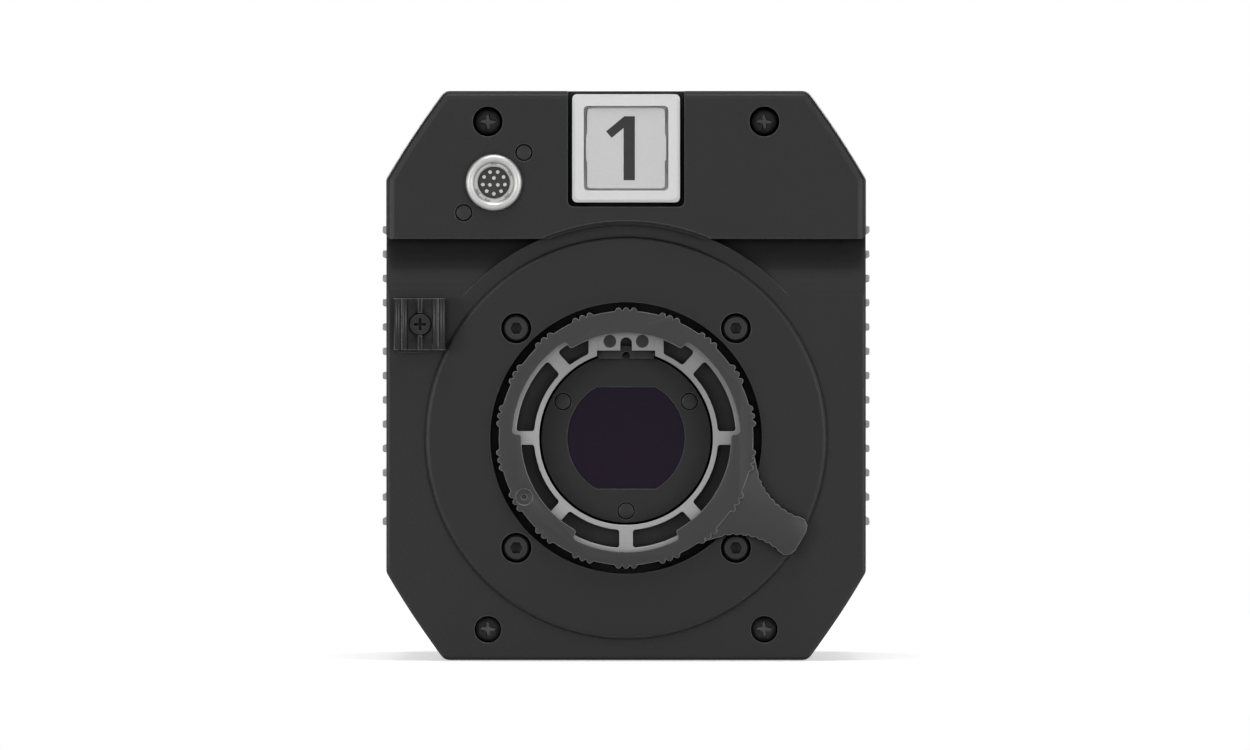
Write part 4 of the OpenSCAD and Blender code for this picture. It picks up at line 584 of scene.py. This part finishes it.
def settle(piece, slot, body, name, finish=None):
    """Puts the piece's place into its mesh, gives it its finish and lets it ride on a body."""
    bpy.ops.object.mode_set(mode="OBJECT")
    piece.name = name
    piece.data.name = name
    bpy.ops.object.transform_apply(location=True, rotation=True, scale=True)
    bpy.ops.object.shade_smooth_by_angle(angle=SMOOTH_ANGLE)
    piece.data.materials.clear()
    piece.data.materials.append(finish_of(finish or slot))
    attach(piece, body)
    return piece


def twin_of(piece, name):
    """A copy of a settled piece with its own mesh."""
    twin = piece.copy()
    twin.data = piece.data.copy()
    twin.name = name
    twin.data.name = twin.name
    bpy.context.collection.objects.link(twin)
    return twin


def bevel_rims(piece, on_rim, width):
    """Bevels the short edges of the piece, in edit mode, whose two ends both pass the test."""
    bpy.ops.mesh.select_mode(type="EDGE")
    bpy.ops.mesh.select_all(action="DESELECT")
    mesh = bmesh.from_edit_mesh(piece.data)
    for edge in mesh.edges:
        edge.select_set(edge.calc_length() < 2 * width and all(on_rim(corner.co) for corner in edge.verts))
    bmesh.update_edit_mesh(piece.data)
    bpy.ops.mesh.bevel(offset=width, segments=1, affect="EDGES")


def break_edges(piece, width):
    """Breaks the piece's sharp edges with a small bevel."""
    bevel = piece.modifiers.new("edges", "BEVEL")
    bevel.width = width
    bevel.segments = 2
    bevel.limit_method = "ANGLE"
    bevel.angle_limit = BREAK_ANGLE
    bpy.ops.object.modifier_apply(modifier=bevel.name)


def corner_places(node, inset):
    """The four places, set in from the corners of a node's box, where its screws have their axes."""
    low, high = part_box(node)
    return [(x, z) for x in (low.x + inset, high.x - inset) for z in (low.z + inset, high.z - inset)]


def eased_copy(node, width, body="camera", finish=None, on_rim=None, rim_w=0.0):
    """A copy of a node with every sharp edge broken by a small bevel, shown in the node's place."""
    start_clean()
    name = "eased_" + node
    piece = bpy.data.objects.new(name, NODES[node].data.copy())
    bpy.context.collection.objects.link(piece)
    piece.select_set(True)
    bpy.context.view_layer.objects.active = piece
    select_all_in_edit()
    bpy.ops.mesh.customdata_custom_splitnormals_clear()
    bpy.ops.mesh.remove_doubles(threshold=MERGE_REACH)
    bpy.ops.mesh.dissolve_limited(angle_limit=FLAT_ANGLE)
    if on_rim:
        bevel_rims(piece, on_rim, rim_w)
    bpy.ops.object.mode_set(mode="OBJECT")
    break_edges(piece, width)
    settle(piece, SLOT_OF[node], body, name, finish=finish)
    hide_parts(node)


class CAMERA_OT_housing(bpy.types.Operator):
    """Finish the case, its screws, heat sinks and rails"""
    bl_idname = "camera.finish_housing"
    bl_label = "Housing"

    def execute(self, context):
        dress("front_panel", "top_cover", "base_plate", "left_cover", "right_cover", "rear_panel",
              "frame_rails", "left_heat_sink", "right_heat_sink", "rear_screws", "cover_screws")
        return {"FINISHED"}


class CAMERA_OT_mount(bpy.types.Operator):
    """Finish the lens mount, the filter and the sensor block"""
    bl_idname = "camera.finish_mount"
    bl_label = "Lens mount"

    def execute(self, context):
        dress("mount_plate", "ring_retainer", "flange_ring", "index_block", "index_pins", "filter_holder",
              "optical_filter", "sensor_frame", "sensor_chip", "sensor_board")
        eased_copy("filter_screws", context.scene.camera_sizes.edge_break)
        return {"FINISHED"}


class CAMERA_OT_lock_ring(bpy.types.Operator):
    """Break the edges of the lock ring, its ribs and its lever"""
    bl_idname = "camera.ease_lock_ring"
    bl_label = "Lock ring edges"

    def execute(self, context):
        eased_copy("lock_ring", context.scene.camera_sizes.edge_break, body="lock_ring")
        return {"FINISHED"}


class CAMERA_OT_front_screws(bpy.types.Operator):
    """Ease the corner and mount screws, and lay bright worn metal in the corner screws' recesses"""
    bl_idname = "camera.shape_front_screws"
    bl_label = "Front screws"

    def execute(self, context):
        sizes = context.scene.camera_sizes
        eased_copy("panel_screws", sizes.screw_edge)
        heads = corner_places("mount_screws", MOUNT_HEAD_R)
        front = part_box("mount_screws")[0].y

        def on_rim(point):
            away = min(math.hypot(point.x - x, point.z - z) for x, z in heads)
            return away > HEAD_RIM_SHARE * MOUNT_HEAD_R and point.y < front + HEAD_RIM_DEPTH

        eased_copy("mount_screws", sizes.screw_edge, on_rim=on_rim, rim_w=sizes.head_rim)
        self.bare_recesses()
        return {"FINISHED"}

    def bare_recesses(self):
        """A bare star on each recess's floor; the modelled one becomes the last of the four.

        It holds number 1 until then, so the first copy gets a suffix to its name.
        """
        star = self.model_star()
        places = corner_places("panel_screws", CORNER_HEAD_R)
        middle = sum(z for x, z in places) / len(places)
        points = [corner.co for corner in NODES["panel_screws"].data.vertices]
        stars = [twin_of(star, f"bare_recess_{number}") for number in range(1, len(places))] + [star]
        star.name = star.data.name = f"bare_recess_{len(places)}"
        for piece, (x, z) in zip(stars, places):
            face_y = min(point.y for point in points if (point.z > middle) == (z > middle))
            floor_y = face_y + RECESS_DEPTH - RECESS_FLOOR_T / 2
            piece.data.transform(Matrix.Translation((x, floor_y, z)))

    def model_star(self):
        start_clean()
        bpy.ops.mesh.primitive_cube_add(size=1.0, location=(0, 0, 0))
        piece = bpy.context.object
        piece.scale = (RECESS_W, RECESS_FLOOR_T, RECESS_W)
        bpy.ops.object.transform_apply(location=False, rotation=False, scale=True)
        bpy.ops.object.mode_set(mode="EDIT")
        arm = RECESS_REACH - RECESS_W / 2
        for x, z in ((1, 0), (-1, 0), (0, 1), (0, -1)):
            select_faces(piece, lambda c, n: n.x * x + n.z * z > 0.9 and abs(c.x + c.z) < RECESS_W)
            bpy.ops.mesh.extrude_region_move(TRANSFORM_OT_translate={"value": (x * arm, 0, z * arm)})
            narrow = (STAR_TIP_SHARE if z else 1, 1, STAR_TIP_SHARE if x else 1)
            bpy.ops.transform.resize(value=narrow, center_override=(x * RECESS_REACH, 0, z * RECESS_REACH))
        return settle(piece, "black_steel", "camera", "bare_recess_1", finish="worn_recess")


class CAMERA_OT_tally(bpy.types.Operator):
    """Finish the tally window and its number plate"""
    bl_idname = "camera.finish_tally"
    bl_label = "Tally window"

    def execute(self, context):
        dress("tally_frame", "tally_board", "number_plate", "number_digit")
        return {"FINISHED"}


class CAMERA_OT_front_fittings(bpy.types.Operator):
    """Finish the lens connector and the cable clamp, and close the connector's keyways"""
    bl_idname = "camera.finish_front_fittings"
    bl_label = "Front fittings"

    def execute(self, context):
        dress("connector_shell", "clamp_screw")
        dress("connector_insert", finish="insert_grey")
        dress("connector_pins", finish="silver_contact")
        sizes = context.scene.camera_sizes
        eased_copy("cable_clamp", sizes.moulded_edge, finish="clamp_black")
        eased_copy("connector_screws", sizes.edge_break)
        self.close_keyways()
        return {"FINISHED"}

    def close_keyways(self):
        """A ring behind the keyways, spread outwards from its inner edge and then thickened."""
        low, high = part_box("connector_shell")
        place = ((low.x + high.x) / 2, low.y + KEYWAY_SINK, (low.z + high.z) / 2)
        grow = KEYWAY_OUT_R / KEYWAY_IN_R
        start_clean()
        bpy.ops.mesh.primitive_circle_add(
            vertices=KEYWAY_STEPS, radius=KEYWAY_IN_R, fill_type="NOTHING",
            location=place, rotation=(math.pi / 2, 0, 0))
        piece = bpy.context.object
        bpy.ops.object.transform_apply(location=True, rotation=True, scale=True)
        bpy.ops.object.mode_set(mode="EDIT")
        bpy.ops.mesh.select_mode(type="EDGE")
        bpy.ops.mesh.select_all(action="SELECT")
        bpy.ops.mesh.extrude_region()
        bpy.ops.transform.resize(value=(grow, 1, grow), center_override=place)
        bpy.ops.mesh.select_all(action="SELECT")
        bpy.ops.mesh.extrude_region_move(TRANSFORM_OT_translate={"value": (0, KEYWAY_T, 0)})
        bpy.ops.mesh.select_all(action="SELECT")
        bpy.ops.mesh.normals_make_consistent(inside=False)
        settle(piece, "bright_metal", "camera", "keyway_floor")


class CAMERA_OT_rear_fittings(bpy.types.Operator):
    """Finish the connectors, the controls and the fan of the rear panel"""
    bl_idname = "camera.finish_rear_fittings"
    bl_label = "Rear fittings"

    def execute(self, context):
        dress("fan_frame", "fan_rotor", "coaxial_jacks", "coaxial_cores", "power_inlet", "inlet_pins",
              "remote_socket", "remote_insert", "network_jack", "power_rocker", "rocker_bezel",
              "balance_toggle", "toggle_bush", "menu_dial", "dial_bush", "upper_button", "lower_button",
              "status_lamp")
        return {"FINISHED"}


class CAMERA_OT_boards(bpy.types.Operator):
    """Finish the circuit boards inside"""
    bl_idname = "camera.finish_boards"
    bl_label = "Boards"

    def execute(self, context):
        dress("main_board", "video_board", "power_board")
        return {"FINISHED"}


class CAMERA_OT_network_contacts(bpy.types.Operator):
    """Bend the eight spring contacts of the network jack"""
    bl_idname = "camera.add_network_contacts"
    bl_label = "Network contacts"

    def execute(self, context):
        piece = self.bend_contact(context.scene.camera_sizes.contact_w)
        numbers = range(2, CONTACT_COUNT + 1)
        contacts = [piece] + [twin_of(piece, f"network_contact_{number}") for number in numbers]
        for index, contact in enumerate(contacts):
            across = (index - (CONTACT_COUNT - 1) / 2) * CONTACT_PITCH
            contact.data.transform(Matrix.Translation((across, 0, 0)))
        return {"FINISHED"}

    def bend_contact(self, width):
        low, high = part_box("network_jack")
        start_clean()
        bpy.ops.mesh.primitive_cube_add(size=1.0, location=(
            (low.x + high.x) / 2, high.y - CONTACT_INSET, (low.z + high.z) / 2 + CONTACT_RISE))
        piece = bpy.context.object
        piece.scale = (width, CONTACT_ROOT, CONTACT_T)
        bpy.ops.object.transform_apply(location=True, rotation=False, scale=True)
        bpy.ops.object.mode_set(mode="EDIT")
        for reach, rise in CONTACT_BENDS:
            tip = max(v.co.y for v in bmesh.from_edit_mesh(piece.data).verts)
            select_faces(piece, lambda c, n: c.y > tip - CONTACT_END_REACH and n.y > 0.5)
            bpy.ops.mesh.extrude_region_move(TRANSFORM_OT_translate={"value": (0, reach, rise)})
        bpy.ops.object.mode_set(mode="OBJECT")
        break_edges(piece, CONTACT_EDGE)
        return settle(piece, "gold_contact", "camera", "network_contact_1")


class CAMERA_OT_tripod_threads(bpy.types.Operator):
    """Turn a thread's crests into each tripod hole"""
    bl_idname = "camera.add_tripod_threads"
    bl_label = "Tripod threads"

    def execute(self, context):
        sizes = context.scene.camera_sizes
        for name, mount, pitch in (
            ("small_thread", "tripod_thread", sizes.thread_pitch),
            ("large_thread", "large_tripod_thread", sizes.thread_pitch * LARGE_PITCH_SHARE),
        ):
            hole = MOUNTS[mount]
            radius = hole["dims"]["r_mm"] / 1000
            depth = hole["dims"]["length_mm"] / 1000
            self.turn_thread(name, hole["pos_m"], radius, depth, pitch, sizes.thread_depth)
        return {"FINISHED"}

    def turn_thread(self, name, place, radius, depth, pitch, reach):
        start_clean()
        bpy.ops.mesh.primitive_plane_add(size=1.0, location=(0, 0, 0))
        piece = bpy.context.object
        foot = pitch * THREAD_FOOT_SHARE
        crest = pitch * THREAD_CREST_SHARE
        corners = {0: (radius, 0, 0), 1: (radius - reach, 0, foot - crest),
                   3: (radius - reach, 0, foot + crest), 2: (radius, 0, 2 * foot)}
        for index, corner in corners.items():
            piece.data.vertices[index].co = corner
        select_all_in_edit()
        bpy.ops.mesh.delete(type="ONLY_FACE")
        bpy.ops.object.mode_set(mode="OBJECT")
        screw = piece.modifiers.new("helix", "SCREW")
        screw.axis = "Z"
        screw.steps = screw.render_steps = THREAD_STEPS
        screw.screw_offset = pitch
        screw.iterations = int(depth / pitch) - 1
        bpy.ops.object.modifier_apply(modifier=screw.name)
        select_all_in_edit()
        bpy.ops.mesh.fill_holes(sides=len(corners))
        bpy.ops.mesh.normals_make_consistent(inside=False)
        piece.location = (place[0], place[1], pitch / 2)
        settle(piece, "case_black", "camera", name)


class CAMERA_OT_stage(bpy.types.Operator):
    """Set the floor, the lamps, the plain surroundings and the picture's camera"""
    bl_idname = "camera.set_stage"
    bl_label = "Stage"

    def execute(self, context):
        context.scene.view_settings.view_transform = "Standard"
        self.lay_floor()
        self.light_room(context.scene)
        for name, place, size, power in LAMPS:
            self.hang_lamp(name, place, size, power)
        self.aim_camera(context.scene)
        return {"FINISHED"}

    def hang_lamp(self, name, place, size, power):
        start_clean()
        bpy.ops.object.light_add(type="AREA", location=place)
        lamp = bpy.context.object
        lamp.name = name
        lamp.data.shape = "ELLIPSE"
        lamp.data.size, lamp.data.size_y = size
        lamp.data.energy = power
        lamp.visible_camera = False
        aim = Vector(LAMP_AIM) - Vector(place)
        lamp.rotation_euler = aim.to_track_quat("-Z", "Y").to_euler()

    def lay_floor(self):
        """A pale floor that turns white with distance, in the picture's own rays alone."""
        start_clean()
        bpy.ops.mesh.primitive_plane_add(size=FLOOR_SIZE, location=(0, 0, -FLOOR_DROP))
        floor = bpy.context.object
        floor.name = "studio_floor"
        material = bpy.data.materials.new("studio_floor")
        material.use_nodes = True
        tree = material.node_tree
        shader = tree.nodes["Principled BSDF"]
        shader.inputs["Base Color"].default_value = FLOOR_COLOUR
        shader.inputs["Roughness"].default_value = 0.9
        shader.inputs["Specular IOR Level"].default_value = 0.1
        x, y, _ = split_place(tree, object_place(tree))
        away = ramp_between(tree, axis_reach(tree, x, y), FLOOR_NEAR, FLOOR_FAR)
        seen = tree.nodes.new("ShaderNodeLightPath").outputs["Is Camera Ray"]
        lift = ramp_between(tree, away, 0.0, 1.0, FLOOR_LIFT_NEAR, FLOOR_LIFT_FAR)
        glow = add_node(tree, "ShaderNodeEmission", Color=WHITE)
        tree.links.new(math_node(tree, "MULTIPLY", seen, lift), glow.inputs["Strength"])
        both = tree.nodes.new("ShaderNodeAddShader")
        tree.links.new(shader.outputs[0], both.inputs[0])
        tree.links.new(glow.outputs[0], both.inputs[1])
        white = add_node(tree, "ShaderNodeEmission", Color=WHITE, Strength=1.0)
        blend = tree.nodes.new("ShaderNodeMixShader")
        tree.links.new(math_node(tree, "MULTIPLY", away, seen), blend.inputs["Fac"])
        tree.links.new(both.outputs[0], blend.inputs[1])
        tree.links.new(white.outputs[0], blend.inputs[2])
        tree.links.new(blend.outputs[0], tree.nodes["Material Output"].inputs["Surface"])
        floor.data.materials.append(material)

    def light_room(self, scene):
        """White in the picture's own rays, and dimmer in mirrored and in diffuse light."""
        world = bpy.data.worlds.new("studio_room")
        scene.world = world
        world.use_nodes = True
        tree = world.node_tree
        path = tree.nodes.new("ShaderNodeLightPath")
        direction = tree.nodes.new("ShaderNodeTexCoord").outputs["Generated"]
        room = ramp_between(tree, split_place(tree, direction)[1], ROOM_FRONT_Y, ROOM_BEHIND_Y,
                            ROOM_MIRRORED - ROOM_AMBIENT, ROOM_BEHIND - ROOM_AMBIENT)
        mirrored = math_node(tree, "MULTIPLY", path.outputs["Is Glossy Ray"], room)
        seen = math_node(tree, "MULTIPLY", path.outputs["Is Camera Ray"], 1.0 - ROOM_AMBIENT)
        strength = math_node(tree, "ADD", math_node(tree, "ADD", mirrored, seen), ROOM_AMBIENT)
        background = tree.nodes["Background"]
        background.inputs["Color"].default_value = WHITE
        tree.links.new(strength, background.inputs["Strength"])

    def aim_camera(self, scene):
        start_clean()
        bpy.ops.object.camera_add(
            location=(VIEW_X, FRONT_Y - VIEW_DISTANCE, VIEW_Z), rotation=(math.pi / 2, 0, 0))
        camera = bpy.context.object
        camera.name = "picture_camera"
        camera.data.sensor_width = FILM_W
        camera.data.lens = FILM_W * VIEW_DISTANCE / (PICTURE_W * PICTURE_SCALE)
        camera.data.clip_end = VIEW_END
        scene.camera = camera


OPERATORS = (
    CAMERA_OT_stage, CAMERA_OT_housing, CAMERA_OT_mount, CAMERA_OT_lock_ring, CAMERA_OT_front_screws,
    CAMERA_OT_tally, CAMERA_OT_front_fittings, CAMERA_OT_rear_fittings, CAMERA_OT_boards,
    CAMERA_OT_network_contacts, CAMERA_OT_tripod_threads,
)


class VIEW3D_PT_box_camera(bpy.types.Panel):
    """Sizes, colours and pieces of the box camera"""
    bl_label = "Box camera"
    bl_space_type = "VIEW_3D"
    bl_region_type = "UI"
    bl_category = "Box camera"

    def draw(self, context):
        for group in (context.scene.camera_sizes, context.scene.camera_colours):
            for name in group.__annotations__:
                self.layout.prop(group, name)
        for operator in OPERATORS:
            self.layout.operator(operator.bl_idname)


CLASSES = (CameraSizes, CameraColours, *OPERATORS, VIEW3D_PT_box_camera)


def register():
    for entry in CLASSES:
        bpy.utils.register_class(entry)
    bpy.types.Scene.camera_sizes = bpy.props.PointerProperty(type=CameraSizes)
    bpy.types.Scene.camera_colours = bpy.props.PointerProperty(type=CameraColours)


def unregister():
    del bpy.types.Scene.camera_sizes
    del bpy.types.Scene.camera_colours
    for entry in reversed(CLASSES):
        bpy.utils.unregister_class(entry)


def main():
    register()
    for operator in OPERATORS:
        area, name = operator.bl_idname.split(".")
        getattr(getattr(bpy.ops, area), name)()


if __name__ == "__main__":
    main()
